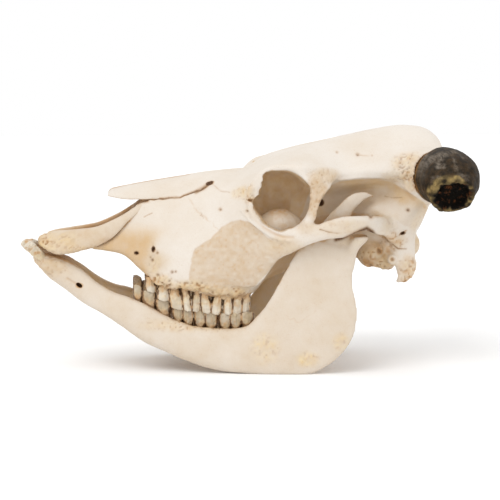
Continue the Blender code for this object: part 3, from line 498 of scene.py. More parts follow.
class SkullSettings(bpy.types.PropertyGroup):
    """Sizes and colours of the bones, teeth and horns."""

    skin: FloatProperty(
        name="Face size", description="Width of the small faces of the finished bones",
        default=0.0011, min=0.0006, max=0.004, unit="LENGTH",
    )
    tooth_skin: FloatProperty(
        name="Tooth face size", description="Width of the small faces of the finished teeth",
        default=0.0007, min=0.0004, max=0.003, unit="LENGTH",
    )
    ripple: FloatProperty(
        name="Ripple", description="Height of the broad unevenness of all bone",
        default=0.00028, min=0.0, max=0.002, unit="LENGTH",
    )
    bone: FloatVectorProperty(
        name="Bone", description="Clean, bleached bone", default=(0.69, 0.635, 0.57), size=3, subtype="COLOR",
    )
    # Beige is also used as painted half shade in hollows.
    beige: FloatVectorProperty(
        name="Beige bone", description="Denser or less bleached bone", default=(0.55, 0.43, 0.295), size=3,
        subtype="COLOR",
    )
    # Brown is also used as painted shade in recesses, gaps and on shaded inner sides.
    brown: FloatVectorProperty(
        name="Brown stain", description="Stain in the recesses of the skull", default=(0.50, 0.295, 0.135), size=3,
        subtype="COLOR",
    )
    grease: FloatVectorProperty(
        name="Grease", description="Yellow grease left in porous bone", default=(0.70, 0.56, 0.33), size=3,
        subtype="COLOR",
    )
    # Dirt in cracks, and painted shade in holes, pits, chinks and gaps between teeth.
    crack_dirt_and_shade: FloatVectorProperty(
        name="Cracks", description="Dirt in cracks and holes", default=(0.07, 0.026, 0.008), size=3, subtype="COLOR",
    )
    enamel: FloatVectorProperty(
        name="Enamel", description="White outer skin of the teeth", default=(0.67, 0.60, 0.49), size=3,
        subtype="COLOR",
    )
    horn: FloatVectorProperty(
        name="Horn", description="Dark body of the horn", default=(0.012, 0.008, 0.004), size=3, subtype="COLOR",
    )
    horn_grey: FloatVectorProperty(
        name="Horn streaks", description="Worn grey streaks of the horn", default=(0.17, 0.14, 0.11), size=3,
        subtype="COLOR",
    )
    horn_amber: FloatVectorProperty(
        name="Horn rim", description="Thin, see-through edges of the horn", default=(0.50, 0.26, 0.09), size=3,
        subtype="COLOR",
    )


class StageSettings(bpy.types.PropertyGroup):
    """Camera, floor and lights."""

    distance: FloatProperty(
        name="Camera distance", description="From the camera to the middle of the skull",
        default=2.0, min=0.5, max=10.0, unit="LENGTH",
    )
    lens: FloatProperty(
        name="Lens", description="Focal length of the camera in millimetres", default=120.0, min=20.0, max=300.0,
    )
    azimuth: FloatProperty(
        name="Azimuth", description="Turn of the camera round the skull", default=np.radians(-4.0), subtype="ANGLE",
    )
    elevation: FloatProperty(
        name="Elevation", description="Rise of the camera over the skull", default=np.radians(6.5), subtype="ANGLE",
    )
    target_height: FloatProperty(
        name="Target height", description="Height of the point that the camera looks at",
        default=0.1358, min=0.0, max=1.0, unit="LENGTH",
    )
    floor_size: FloatProperty(
        name="Floor size", description="Side of the pale floor", default=12.0, min=1.0, max=50.0, unit="LENGTH",
    )
    key_strength: FloatProperty(
        name="Key light", description="Strength of the soft light from the upper left", default=1.0, min=0.0, max=20.0,
    )
    fill_power: FloatProperty(
        name="Fill light", description="Power of the lamp at the front right", default=3.0, min=0.0, max=500.0,
        unit="POWER",
    )
    sky: FloatProperty(
        name="Sky", description="Strength of the even light from all round", default=1.0, min=0.0, max=5.0,
    )


def placed(point, side=1.0):
    """A drawing point (x, out, z) in metres on the given side."""
    x, out, z = point
    return Vector(((x - MIDDLE_X) * MM, side * out * MM, z * MM))


def smooth_rows(rows, steps, closed=False):
    """Rows of numbers with steps rows in each gap, read from a Catmull-Rom curve through them."""
    rows = np.asarray(rows, float)
    count = len(rows)
    found = []
    for i in range(count if closed else count - 1):
        if closed:
            a, b, c, d = (rows[(i + k) % count] for k in (-1, 0, 1, 2))
        else:
            b, c = rows[i], rows[i + 1]
            a = rows[i - 1] if i else 2 * b - c
            d = rows[i + 2] if i + 2 < count else 2 * c - b
        for step in range(steps):
            t = step / steps
            bend = (2 * a - 5 * b + 4 * c - d) * t**2 + (3 * b - a - 3 * c + d) * t**3
            found.append(b + 0.5 * ((c - a) * t + bend))
    if not closed:
        found.append(rows[-1])
    return np.array(found)


def skin_rings(bm, rings, closed=False):
    """Joins a row of rings of points into one shell, as a hoop or with a fan of faces over each end."""
    made = [[bm.verts.new(point) for point in ring] for ring in rings]
    count = len(made[0])
    pairs = list(zip(made, made[1:]))
    if closed:
        pairs.append((made[-1], made[0]))
    for near, far in pairs:
        for i in range(count):
            j = (i + 1) % count
            bm.faces.new((near[i], near[j], far[j], far[i]))
    if closed:
        return
    for ring in (made[0], made[-1]):
        middle = bm.verts.new(sum((v.co for v in ring), Vector()) / count)
        for i in range(count):
            bm.faces.new((ring[i], ring[(i + 1) % count], middle))


def add_ribs(bm, ribs, side, steps=5, sides=24, square=0.75):
    """A bar or plate through ribs. A rib joins the two edges of the plate and has its thickness and its bow."""
    rows = smooth_rows([[*rib.upper, *rib.lower, rib.thick, rib.bow] for rib in ribs], steps)
    middles = (rows[:, 0:3] + rows[:, 3:6]) / 2
    along = np.gradient(middles, axis=0)
    rings = []
    for row, middle, ahead in zip(rows, middles, along):
        half = (row[3:6] - row[0:3]) / 2
        across = np.cross(ahead, half)
        across /= np.linalg.norm(across)
        if across[1] < 0:
            across = -across
        ring = []
        for k in range(sides):
            angle = 2 * np.pi * k / sides
            c, s = np.cos(angle), np.sin(angle)
            u = np.sign(c) * abs(c) ** square
            v = np.sign(s) * abs(s) ** square
            offset = half * u + across * (row[6] / 2 * v + row[7] * (1 - u * u))
            ring.append(placed(middle + offset, side))
        rings.append(ring)
    skin_rings(bm, rings)


def add_egg(bm, egg, side, rings=16):
    """An egg with its radii along X, out and Z. A tilt in degrees lowers its rear end."""
    rx, ry, rz = (r * MM for r in egg.radii)
    matrix = (
        Matrix.Translation(placed(egg.centre, side))
        @ Matrix.Rotation(np.radians(egg.tilt), 4, "Y")
        @ Matrix.Diagonal((rx, ry, rz, 1.0))
    )
    bmesh.ops.create_uvsphere(bm, u_segments=2 * rings, v_segments=rings, radius=1.0, matrix=matrix)


def add_skull_body(bm):
    """The whole face and brain case as one form through the upright slices."""
    rows = [[s.x, s.top, *s.crown, *s.waist, *s.ledge, *s.base, s.floor] for s in SKULL_SECTIONS]
    rings = []
    for x, top, *pairs, floor in smooth_rows(rows, 5):
        half = list(zip(pairs[0::2], pairs[1::2]))
        outline = [(0.0, top), *half, (0.0, floor), *[(-out, z) for out, z in reversed(half)]]
        rings.append([placed((x, out, z)) for out, z in smooth_rows(outline, 8, closed=True)])
    skin_rings(bm, rings)


def add_orbit_rim(bm, side):
    """The raised hoop of bone round the eye socket."""
    lean = np.radians(ORBIT_LEAN)
    facing = np.array([-np.sin(lean), np.cos(lean), 0.0])
    rings = []
    for i in range(ORBIT_RIM_SIDES):
        angle = 2 * np.pi * i / ORBIT_RIM_SIDES
        level = np.array([np.cos(lean), np.sin(lean), 0.0]) * np.cos(angle)
        upright = np.array([0.0, 0.0, np.sin(angle)])
        middle = np.array(ORBIT_CENTRE) + level * ORBIT_RIM_RADII[0] + upright * ORBIT_RIM_RADII[1]
        ring = []
        for k in range(ORBIT_RIM_TUBE_SIDES):
            turn = 2 * np.pi * k / ORBIT_RIM_TUBE_SIDES
            offset = (level + upright) * np.cos(turn) + facing * np.sin(turn)
            ring.append(placed(middle + offset * ORBIT_RIM_THICK, side))
        rings.append(ring)
    skin_rings(bm, rings, closed=True)


def object_from(bm, name):
    bmesh.ops.recalc_face_normals(bm, faces=bm.faces)
    mesh = bpy.data.meshes.new(name)
    bm.to_mesh(mesh)
    bm.free()
    obj = bpy.data.objects.new(name, mesh)
    bpy.context.scene.collection.objects.link(obj)
    return obj


def apply_modifiers(obj):
    bpy.context.view_layer.update()
    graph = bpy.context.evaluated_depsgraph_get()
    mesh = bpy.data.meshes.new_from_object(obj.evaluated_get(graph))
    obj.modifiers.clear()
    obj.data = mesh


def loose_parts(obj, count):
    """Parts a mesh into its largest separate surfaces, largest first. The rest is dropped."""
    bpy.ops.object.select_all(action="DESELECT")
    obj.select_set(True)
    bpy.context.view_layer.objects.active = obj
    bpy.ops.object.mode_set(mode="EDIT")
    bpy.ops.mesh.select_all(action="SELECT")
    bpy.ops.mesh.separate(type="LOOSE")
    bpy.ops.object.mode_set(mode="OBJECT")
    parts = sorted(bpy.context.selected_objects, key=lambda part: len(part.data.vertices), reverse=True)
    for scrap in parts[count:]:
        bpy.data.objects.remove(scrap)
    return parts[:count]


def fuse_clay(obj, voxel, smoothing, subdivided=0):
    """Fuses overlapping closed forms into one skin and eases the creases between them. voxel is in millimetres."""
    remesh = obj.modifiers.new("fuse", "REMESH")
    remesh.mode = "VOXEL"
    remesh.voxel_size = voxel * MM
    smooth = obj.modifiers.new("ease", "SMOOTH")
    smooth.factor = 0.5
    smooth.iterations = smoothing
    if subdivided:
        finer = obj.modifiers.new("finer", "SUBSURF")
        finer.levels = subdivided
        finer.render_levels = subdivided
    apply_modifiers(obj)


def grown_copy(obj, growth):
    """A copy of a closed piece pushed out along its normals by growth in mm, to cut the room for that piece."""
    grown = obj.copy()
    grown.data = obj.data.copy()
    bpy.context.scene.collection.objects.link(grown)
    displace = grown.modifiers.new("grow", "DISPLACE")
    displace.mid_level = 0.0
    displace.strength = growth * MM
    apply_modifiers(grown)
    return grown


def combine(obj, others, operation):
    """Joins closed mesh objects to obj, or cuts them from it, and removes them."""
    group = bpy.data.collections.new("group")
    bpy.context.scene.collection.children.link(group)
    for other in others:
        group.objects.link(other)
        bpy.context.scene.collection.objects.unlink(other)
    boolean = obj.modifiers.new(operation.lower(), "BOOLEAN")
    boolean.operation = operation
    boolean.operand_type = "COLLECTION"
    boolean.collection = group
    boolean.solver = "MANIFOLD"
    apply_modifiers(obj)
    for other in others:
        bpy.data.objects.remove(other)
    bpy.data.collections.remove(group)


def join_forms(obj, others):
    """Puts the closed forms of other objects into obj, to be fused with it later."""
    bm = bmesh.new()
    bm.from_mesh(obj.data)
    for other in others:
        bm.from_mesh(other.data)
        bpy.data.objects.remove(other)
    bm.to_mesh(obj.data)
    bm.free()


def box_object(name, low, high):
    """A box between two drawing corners (x, y, z)."""
    bm = bmesh.new()
    bmesh.ops.create_cube(bm, size=1.0)
    for vert in bm.verts:
        vert.co = placed([low[i] if vert.co[i] < 0 else high[i] for i in range(3)])
    return object_from(bm, name)


def prism_object(name, outline, low, high, plane):
    """A straight prism from low to high, over an outline drawn in the XZ or the XY plane."""
    bm = bmesh.new()
    ends = []
    for level in (low, high):
        points = [(a, level, b) if plane == "XZ" else (a, b, level) for a, b in outline]
        ends.append([bm.verts.new(placed(point)) for point in points])
    count = len(outline)
    for i in range(count):
        j = (i + 1) % count
        bm.faces.new((ends[0][i], ends[0][j], ends[1][j], ends[1][i]))
    caps = [bm.faces.new(end) for end in ends]
    bm.normal_update()
    bmesh.ops.triangulate(bm, faces=caps)
    return object_from(bm, name)


def egg_objects(eggs):
    """Both copies of each egg as objects of their own."""
    made = []
    for egg in eggs:
        for side in SIDES.values():
            bm = bmesh.new()
            add_egg(bm, egg, side)
            made.append(object_from(bm, "egg"))
    return made


def upper_jaw_block(lap, low, high):
    """A block over all that is in front of the seam of the upper jaws, moved back by lap."""
    line = np.array(UPPER_JAW_SEAM, float)
    across = np.gradient(line, axis=0)[:, ::-1] * (-1, 1)
    line += across * lap / np.linalg.norm(across, axis=1)[:, None]
    front = [*line, (JAW_FRONT_TO_BACK[0], line[-1][1]), (JAW_FRONT_TO_BACK[0], line[0][1])]
    return prism_object("front", front, low, high, "XZ")


def middle_block(name, side):
    """A block over the wrong side of the middle plane, which trims a half bone to its seam."""
    inner, outer = sorted((-side * FAR / 2, side * SEAM / 2))
    start, end = JAW_FRONT_TO_BACK
    low, high = MIDDLE_BLOCK_HEIGHTS
    return box_object(name, (start, inner, low), (end, outer, high))


def nasal_clay(side):
    """One nasal bone, a thin bowed roof plate that ends in two prongs."""
    bm = bmesh.new()
    add_ribs(bm, NASAL_RIBS, side)
    obj = object_from(bm, "nasal_clay")
    outline = [(x, side * out) for x, out in NASAL_NOTCH]
    notch = prism_object("notch", outline, *NASAL_HEIGHTS, "XY")
    combine(obj, [notch], "DIFFERENCE")
    combine(obj, [middle_block("middle", side)], "DIFFERENCE")
    return obj


def premaxilla_clay(side):
    """The bone at the front of one side of the muzzle, with its bar beside the middle of the palate."""
    bm = bmesh.new()
    add_ribs(bm, PREMAXILLA_RIBS, side)
    add_ribs(bm, PALATINE_BAR_RIBS, side, sides=12)
    obj = object_from(bm, "premaxilla_clay")
    fuse_clay(obj, *SHEET_CLAY)
    combine(obj, [middle_block("middle", side)], "DIFFERENCE")
    return loose_parts(obj, 1)[0]


def horn_rows(steps):
    """Rows of (x, out, z, radius) along the horn, with the direction of the horn at each."""
    rows = smooth_rows([[*point, radius] for point, radius in zip(HORN_PATH, HORN_RADII)], steps)
    along = np.gradient(rows[:, :3], axis=0)
    return rows, along / np.linalg.norm(along, axis=1)[:, None]


def horn_ring(middle, ahead, radii):
    """Points round the horn, one for each radius, as drawing points."""
    level = np.array([1.0, 0.0, 0.0])
    up = np.cross(level, ahead)
    up /= np.linalg.norm(up)
    angles = 2 * np.pi * np.arange(len(radii)) / len(radii)
    return middle + (np.cos(angles)[:, None] * level + np.sin(angles)[:, None] * up) * np.asarray(radii)[:, None]


def horn_clay(side):
    """The plain outer form of one horn, which the skull is cut clear of."""
    rows, along = horn_rows(3)
    bm = bmesh.new()
    rings = []
    for row, ahead in zip(rows, along):
        rings.append([placed(point, side) for point in horn_ring(row[:3], ahead, [row[3]] * HORN_CLAY_POINTS)])
    skin_rings(bm, rings)
    return object_from(bm, "horn_clay")


def skull_clay():
    """Every outer form of the skull above the lower jaw, fused."""
    bm = bmesh.new()
    add_skull_body(bm)
    for side in SIDES.values():
        for ribs in (CHEEK_RIBS, ORBIT_BAR_RIBS, JUGULAR_RIBS, PTERYGOID_RIBS):
            add_ribs(bm, ribs, side)
        add_orbit_rim(bm, side)
        for egg in (CONDYLE, BULLA, BULLA_REAR, EAR_TUBE, EAR_RING, EAR_FILL):
            add_egg(bm, egg, side)
        add_ribs(bm, HORN_CORE_RIBS, side, sides=32, square=1.0)
    obj = object_from(bm, "cranium")
    fuse_clay(obj, *CRANIUM_CLAY, subdivided=1)
    return obj


def orbit_hollow(side):
    """The form that hollows one eye socket. The front of its opening is ragged."""
    outline = smooth_rows(ORBIT_OUTLINE, 6, closed=True)
    centre = outline.mean(axis=0)
    depths = smooth_rows(ORBIT_DEPTHS, 3)
    bm = bmesh.new()
    rings = []
    for out, share in depths:
        points = np.column_stack([outline[:, 0], np.full(len(outline), out), outline[:, 1]])
        ragged = rise(out, 84, 92) * rise(outline[:, 0], 26, 2)
        away = outline - centre
        away /= np.linalg.norm(away, axis=1)[:, None]
        bite = ORBIT_RAGGED * ragged * (lumps(points, 3.4, 61) + 0.6 * lumps(points, 1.8, 62))
        flat = centre + (outline - centre) * share + away * bite[:, None]
        rings.append([placed((x, out, z), side) for x, z in flat])
    skin_rings(bm, rings)
    return object_from(bm, "orbit_hollow")


def cut_skull_hollows(skull):
    """Cuts the eye sockets, the nose, the throat end of the nose, the spinal hole and the small openings."""
    for side in SIDES.values():
        combine(skull, [orbit_hollow(side)], "DIFFERENCE")
    for ribs in (NOSE_PASSAGE_RIBS, CHOANA_RIBS):
        bm = bmesh.new()
        add_ribs(bm, ribs, 1.0)
        combine(skull, [object_from(bm, "passage")], "DIFFERENCE")
    bm = bmesh.new()
    add_egg(bm, SPINAL_HOLE, 1.0)
    combine(skull, [object_from(bm, "spinal_hole")], "DIFFERENCE")
    combine(skull, egg_objects(SKULL_HOLES), "DIFFERENCE")


def lay_skin(obj, size, smoothing=2):
    """Lays the skin again with small even faces of the given size in metres."""
    fuse_clay(obj, size / MM, smoothing)


# Side of the block of random heights, and how far apart two seeds read it.
LUMP_GRID = 32
LUMP_SHIFT = 7.31


def lumps(points, size, seed):
    """Smooth random heights from -1 to 1 at points, with lumps about size across."""
    grid = np.random.default_rng(seed).uniform(-1, 1, (LUMP_GRID,) * 3)
    place = points / size + seed * LUMP_SHIFT
    cell = np.floor(place).astype(int)
    share = place - cell
    share = share * share * (3 - 2 * share)
    total = np.zeros(len(points))
    for corner in np.ndindex(2, 2, 2):
        index = (cell + corner) % LUMP_GRID
        weight = np.prod(np.where(corner, share, 1 - share), axis=1)
        total += weight * grid[index[:, 0], index[:, 1], index[:, 2]]
    return total


def rise(value, low, high):
    """A smooth step from 0 where value is low to 1 where it is high."""
    share = np.clip((value - low) / (high - low), 0, 1)
    return share * share * (3 - 2 * share)


def distance_to_segment(points, a, b, scale=1.0):
    """Distance of each point from the segment, with each direction of it multiplied by scale."""
    along = b - a
    share = np.clip((points - a) @ along / (along @ along), 0, 1)
    return np.linalg.norm((points - a - share[:, None] * along) * scale, axis=1)


# Lines and pits reach further in and out than along the bone, so that they meet it where it bulges.
LINE_SCALE = (1, 0.4, 1)
PIT_SCALE = (1, 0.3, 1)


class Skin:
    """The points of a finished skin while they are carved and stained."""

    def __init__(self, obj):
        self.obj = obj
        mesh = obj.data
        count = len(mesh.vertices)
        flat = np.empty(count * 3, np.float32)
        mesh.vertices.foreach_get("co", flat)
        self.place = flat.reshape(-1, 3).astype(float)
        mesh.vertex_normals.foreach_get("vector", flat)
        self.normal = flat.reshape(-1, 3).astype(float)
        self.side = np.where(self.place[:, 1] < 0, -1.0, 1.0)
        self.point = self.place / MM
        self.point[:, 0] += MIDDLE_X
        self.point[:, 1] = abs(self.point[:, 1])
        self.facing = self.normal.copy()
        self.facing[:, 1] *= self.side
        self.lift = np.zeros(count)
        self.stain = {name: np.zeros(count) for name in STAINS}
        # Share of each point where the painted recess shade is left out, because other colour replaces it.
        self.clean = np.zeros(count)

    def reach_of_line(self, line, seed):
        """1 on the line and 0 away from it, for every point. The line wanders a little off its path."""
        path = np.array(line.path, float)
        margin = 4 * line.radius + 2 * line.wander
        close = np.all((self.point > path.min(0) - margin) & (self.point < path.max(0) + margin), axis=1)
        found = np.zeros(len(self.point))
        points = self.point[close]
        if not len(points):
            return found
        if line.wander:
            shift = [lumps(points, 5.0, seed + k) for k in range(3)]
            points = points + line.wander * np.stack(shift, axis=1)
        best = np.full(len(points), np.inf)
        for a, b in zip(path, path[1:]):
            best = np.minimum(best, distance_to_segment(points, a, b, LINE_SCALE))
        found[close] = np.exp(-((best / line.radius) ** 2))
        return found

    def wandering(self, wander, size, seed):
        """The points seen from the side, as (x, z), moved a little off their place."""
        shift = np.stack([lumps(self.point, size, seed + k) for k in range(2)], 1)
        return self.point[:, [0, 2]] + wander * shift

    def reach_of_side_line(self, path, radius, wander, seed):
        """1 on a line drawn as (x, z) and 0 away from it, whatever the distance from the middle plane."""
        points = self.wandering(wander, 5, seed)
        best = np.full(len(points), np.inf)
        path = np.array(path, float)
        for a, b in zip(path, path[1:]):
            best = np.minimum(best, distance_to_segment(points, a, b))
        return np.exp(-((best / radius) ** 2))

    def reach_of_egg(self, centre, radii):
        """1 at the centre and 0 from the edge on, for every point."""
        away = np.linalg.norm((self.point - centre) / radii, axis=1)
        return rise(away, 1.0, 0.35)

    def depth_in_field(self, outline, wander, seed):
        """How far each point lies inside an outline drawn as (x, z), in millimetres, and below 0 outside it."""
        points = self.wandering(wander, 6, seed)
        best = np.full(len(points), np.inf)
        inside = np.zeros(len(points), bool)
        x, z = points.T
        corners = np.array(outline, float)
        for a, b in zip(corners, np.roll(corners, -1, axis=0)):
            best = np.minimum(best, distance_to_segment(points, a, b))
            crosses = (a[1] > z) != (b[1] > z)
            level = a[0] + (b[0] - a[0]) * (z - a[1]) / (b[1] - a[1] or 1e-9)
            inside ^= crosses & (x < level)
        return np.where(inside, best, -best)

    def add_stain(self, name, amount):
        self.stain[name] = np.maximum(self.stain[name], amount)

    def carve_lines(self, lines):
        for number, line in enumerate(lines):
            reach = self.reach_of_line(line, 11 + 3 * number)
            self.lift -= line.depth * reach
            self.add_stain("brown", line.brown * reach)
            self.add_stain("dark", line.dark * reach**2)

    def carve_pits(self, pits):
        for pit in pits:
            away = np.linalg.norm((self.point - pit.centre) * PIT_SCALE, axis=1)
            reach = np.exp(-((away / pit.radius) ** 2))
            self.lift -= pit.depth * reach
            self.add_stain("brown", pit.brown * np.exp(-((away / (pit.radius * 1.6)) ** 2)))
            # The dark in the middle of each pit is painted shade.
            self.add_stain("dark", pit.dark * reach)

    def paint_hole_shade(self, eggs):
        """Painted shade on the walls of the small openings, darker further in."""
        for egg in eggs:
            away = np.linalg.norm((self.point - egg.centre) / (np.array(egg.radii) + 0.7), axis=1)
            reach = rise(away, 1.25, 0.85)
            deep = rise(self.point[:, 1], egg.centre[1] + 1.5, egg.centre[1] - 2.5)
            self.add_stain("brown", 0.8 * reach)
            self.add_stain("dark", 0.95 * reach * deep)

    def roughen(self, patches):
        for number, patch in enumerate(patches):
            reach = self.reach_of_egg(patch.centre, patch.radii)
            coarse = lumps(self.point, patch.size, 40 + number)
            fine = lumps(self.point, patch.size * 0.55, 90 + number)
            holes = rise(fine, -0.22, -0.6)
            self.lift += patch.rough * reach * (0.6 * coarse + 0.35 * fine - 0.4 * holes)
            self.add_stain("brown", reach * patch.brown * (0.45 + 0.55 * coarse + 0.9 * holes))
            self.add_stain("dark", reach * patch.brown * 0.45 * rise(fine, -0.42, -0.75))
            self.add_stain("grease", reach * patch.grease * (0.7 + 0.6 * fine))
            self.add_stain("beige", reach * patch.beige)

    def ripple(self, height):
        self.lift += height / MM * (0.6 * lumps(self.point, 22, 5) + 0.4 * lumps(self.point, 8, 6))

    def finish(self, opening=None, recess_shade=0.95):
        """Moves the points, writes stains and painted recess shade, and shades the piece smooth. Nothing goes below
        the table.
        """
        mesh = self.obj.data
        place = self.place + self.normal * (self.lift * MM)[:, None]
        place[:, 2] = np.maximum(place[:, 2], 0.0)
        mesh.vertices.foreach_set("co", place.astype(np.float32).ravel())
        if opening is not None:
            # Painted shade: brown where the view out of a point is mostly closed, beige where it is half closed, less
            # where other colour replaces it.
            self.add_stain("brown", recess_shade * rise(opening, 0.62, 0.20) * (1 - self.clean))
            self.add_stain("beige", recess_shade * rise(opening, 0.95, 0.55))
        colours = np.clip(np.stack([self.stain[name] for name in STAINS], axis=1), 0, 1)
        layer = mesh.attributes.new(STAIN_LAYER, "FLOAT_COLOR", "POINT")
        layer.data.foreach_set("color", colours.astype(np.float32).ravel())
        mesh.shade_smooth()
        mesh.update()


# The openness of each point sets how much shade is painted into it.
OPENNESS_RAYS = 24
OPENNESS_REACH = 0.07
OPENNESS_LIFT = 0.0025
OPENNESS_STRIDE = 14
OPENNESS_NEIGHBOURS = 3
# How much the rays lean towards the normal, and the distance in metres within which a sample counts alone.
OPENNESS_LEAN = 1.05
OPENNESS_BLUR = 0.0005


def solid_tree():
    """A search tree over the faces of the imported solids."""
    verts, faces = [], []
    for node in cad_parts.values():
        start = len(verts)
        verts += [v.co.copy() for v in node.data.vertices]
        faces += [tuple(start + i for i in p.vertices) for p in node.data.polygons]
    return BVHTree.FromPolygons(verts, faces)


SOLIDS = solid_tree()


def openness(skin):
    """How much of the view out of each point is free, from 0 to 1, spread from a sample of the points."""
    rng = np.random.default_rng(3)
    rays = rng.normal(size=(OPENNESS_RAYS, 3))
    rays /= np.linalg.norm(rays, axis=1)[:, None]
    raised = skin.place + skin.normal * OPENNESS_LIFT
    picked = np.arange(0, len(raised), OPENNESS_STRIDE)
    tree = KDTree(len(picked))
    free = []
    for number, i in enumerate(picked):
        start, normal = Vector(raised[i]), skin.normal[i]
        tree.insert(start, number)
        hits = 0
        for ray in rays:
            direction = Vector(ray + normal * OPENNESS_LEAN)
            if SOLIDS.ray_cast(start, direction, OPENNESS_REACH)[0] is not None:
                hits += 1
        free.append(1 - hits / OPENNESS_RAYS)
    tree.balance()
    found = np.empty(len(raised))
    for i, point in enumerate(raised):
        near = tree.find_n(point, OPENNESS_NEIGHBOURS)
        weights = [1 / (distance + OPENNESS_BLUR) for _, _, distance in near]
        found[i] = sum(w * free[index] for w, (_, index, _) in zip(weights, near)) / sum(weights)
    return found


TOOTH_TAN = (0.56, 0.50, 0.41)
DENTINE = (0.33, 0.26, 0.185)
HORN_RIM = (0.27, 0.19, 0.075)
HORN_CORE_BLACK = (0.004, 0.003, 0.002)
HORN_CORE_ORANGE = (0.10, 0.035, 0.012)
FLOOR_LIGHT = (0.95, 0.95, 0.95)
FLOOR_SHADE = (0.92, 0.92, 0.92)


def new_material(name):
    made = bpy.data.materials.new(name)
    made.use_nodes = True
    return made, made.node_tree, made.node_tree.nodes["Principled BSDF"]


def node(tree, kind, inputs=None, **options):
    """A shader node with its options and inputs set. An input that is a socket is linked."""
    made = tree.nodes.new(kind)
    for name, value in options.items():
        setattr(made, name, value)
    for key, value in (inputs or {}).items():
        if isinstance(value, bpy.types.NodeSocket):
            tree.links.new(value, made.inputs[key])
        else:
            made.inputs[key].default_value = value
    return made


def noise(tree, place, scale, detail=3.0, roughness=0.55):
    inputs = {"Vector": place, "Scale": scale, "Detail": detail, "Roughness": roughness}
    return node(tree, "ShaderNodeTexNoise", inputs).outputs["Fac"]


def maths(tree, operation, a, b=0.0, clamp=False):
    return node(tree, "ShaderNodeMath", {0: a, 1: b}, operation=operation, use_clamp=clamp).outputs[0]


def ranged(tree, value, low, high, new_low=0.0, new_high=1.0):
    inputs = {0: value, 1: low, 2: high, 3: new_low, 4: new_high}
    return node(tree, "ShaderNodeMapRange", inputs).outputs[0]


def mixed(tree, share, a, b, blend="MIX"):
    """A mix of two colours. A colour that isn't a socket is three numbers."""
    colours = [c if isinstance(c, bpy.types.NodeSocket) else (*c, 1.0) for c in (a, b)]
    inputs = {0: share, 6: colours[0], 7: colours[1]}
    return node(tree, "ShaderNodeMix", inputs, data_type="RGBA", blend_type=blend).outputs[2]


def bumped(tree, height, distance, strength=1.0, normal=None):
    inputs = {"Height": height, "Distance": distance, "Strength": strength}
    if normal is not None:
        inputs["Normal"] = normal
    return node(tree, "ShaderNodeBump", inputs).outputs["Normal"]


def stain_sockets(tree):
    """Sockets for the four stains that were painted on the points."""
    layer = node(tree, "ShaderNodeAttribute", attribute_name=STAIN_LAYER)
    parts = node(tree, "ShaderNodeSeparateColor", {"Color": layer.outputs["Color"]})
    return [*parts.outputs, layer.outputs["Alpha"]]


def bone_material(name, settings):
    """Dry bone: clouded ivory, brown stain and painted shade in recesses, greasy patches, pores, and dirt and shade in
    cracks.
    """
    made, tree, shader = new_material(name)
    place = node(tree, "ShaderNodeTexCoord").outputs["Object"]
    brown, dark, grease, beige = stain_sockets(tree)
    clouds = noise(tree, place, 16, 4)
    mottle = noise(tree, place, 75, 6, 0.62)
    grain = noise(tree, place, 620, 4, 0.7)
    pores = node(tree, "ShaderNodeTexVoronoi", {"Vector": place, "Scale": 420.0}).outputs["Distance"]
    pore_share = ranged(tree, pores, 0.34, 0.12)

    share = maths(tree, "MULTIPLY", ranged(tree, clouds, 0.38, 0.68), 0.30)
    share = maths(tree, "MAXIMUM", share, maths(tree, "MULTIPLY", beige, ranged(tree, mottle, 0.3, 0.7, 0.65, 1.0)))
    colour = mixed(tree, share, settings.bone, settings.beige)
    fleck = maths(tree, "MULTIPLY", ranged(tree, grain, 0.42, 0.72), 0.16)
    colour = mixed(tree, fleck, colour, settings.beige)
    yellow = maths(tree, "MULTIPLY", grease, ranged(tree, mottle, 0.32, 0.66, 0.35, 1.25), clamp=True)
    colour = mixed(tree, yellow, colour, settings.grease)
    # The brown layer holds painted shade in recesses and on inner sides as well as stain.
    tan = maths(tree, "MULTIPLY", brown, ranged(tree, mottle, 0.28, 0.72, 0.7, 1.25), clamp=True)
    colour = mixed(tree, tan, colour, settings.brown)
    # The dark layer holds dirt in cracks and painted shade in holes, pits and gaps.
    dirt = maths(tree, "MULTIPLY", dark, ranged(tree, grain, 0.3, 0.6, 0.7, 1.2), clamp=True)
    colour = mixed(tree, dirt, colour, settings.crack_dirt_and_shade)
    speck = maths(tree, "MULTIPLY", pore_share, ranged(tree, mottle, 0.46, 0.7, 0.0, 0.30))
    colour = mixed(tree, speck, colour, settings.brown)

    tree.links.new(colour, shader.inputs["Base Color"])
    tree.links.new(ranged(tree, grain, 0.3, 0.7, 0.52, 0.74), shader.inputs["Roughness"])
    shader.inputs["Specular IOR Level"].default_value = 0.35
    pitted = maths(tree, "SUBTRACT", grain, maths(tree, "MULTIPLY", pore_share, 0.8))
    normal = bumped(tree, mottle, 0.0009, 0.5)
    normal = bumped(tree, pitted, 0.00022, 0.55, normal)
    tree.links.new(normal, shader.inputs["Normal"])
    return made


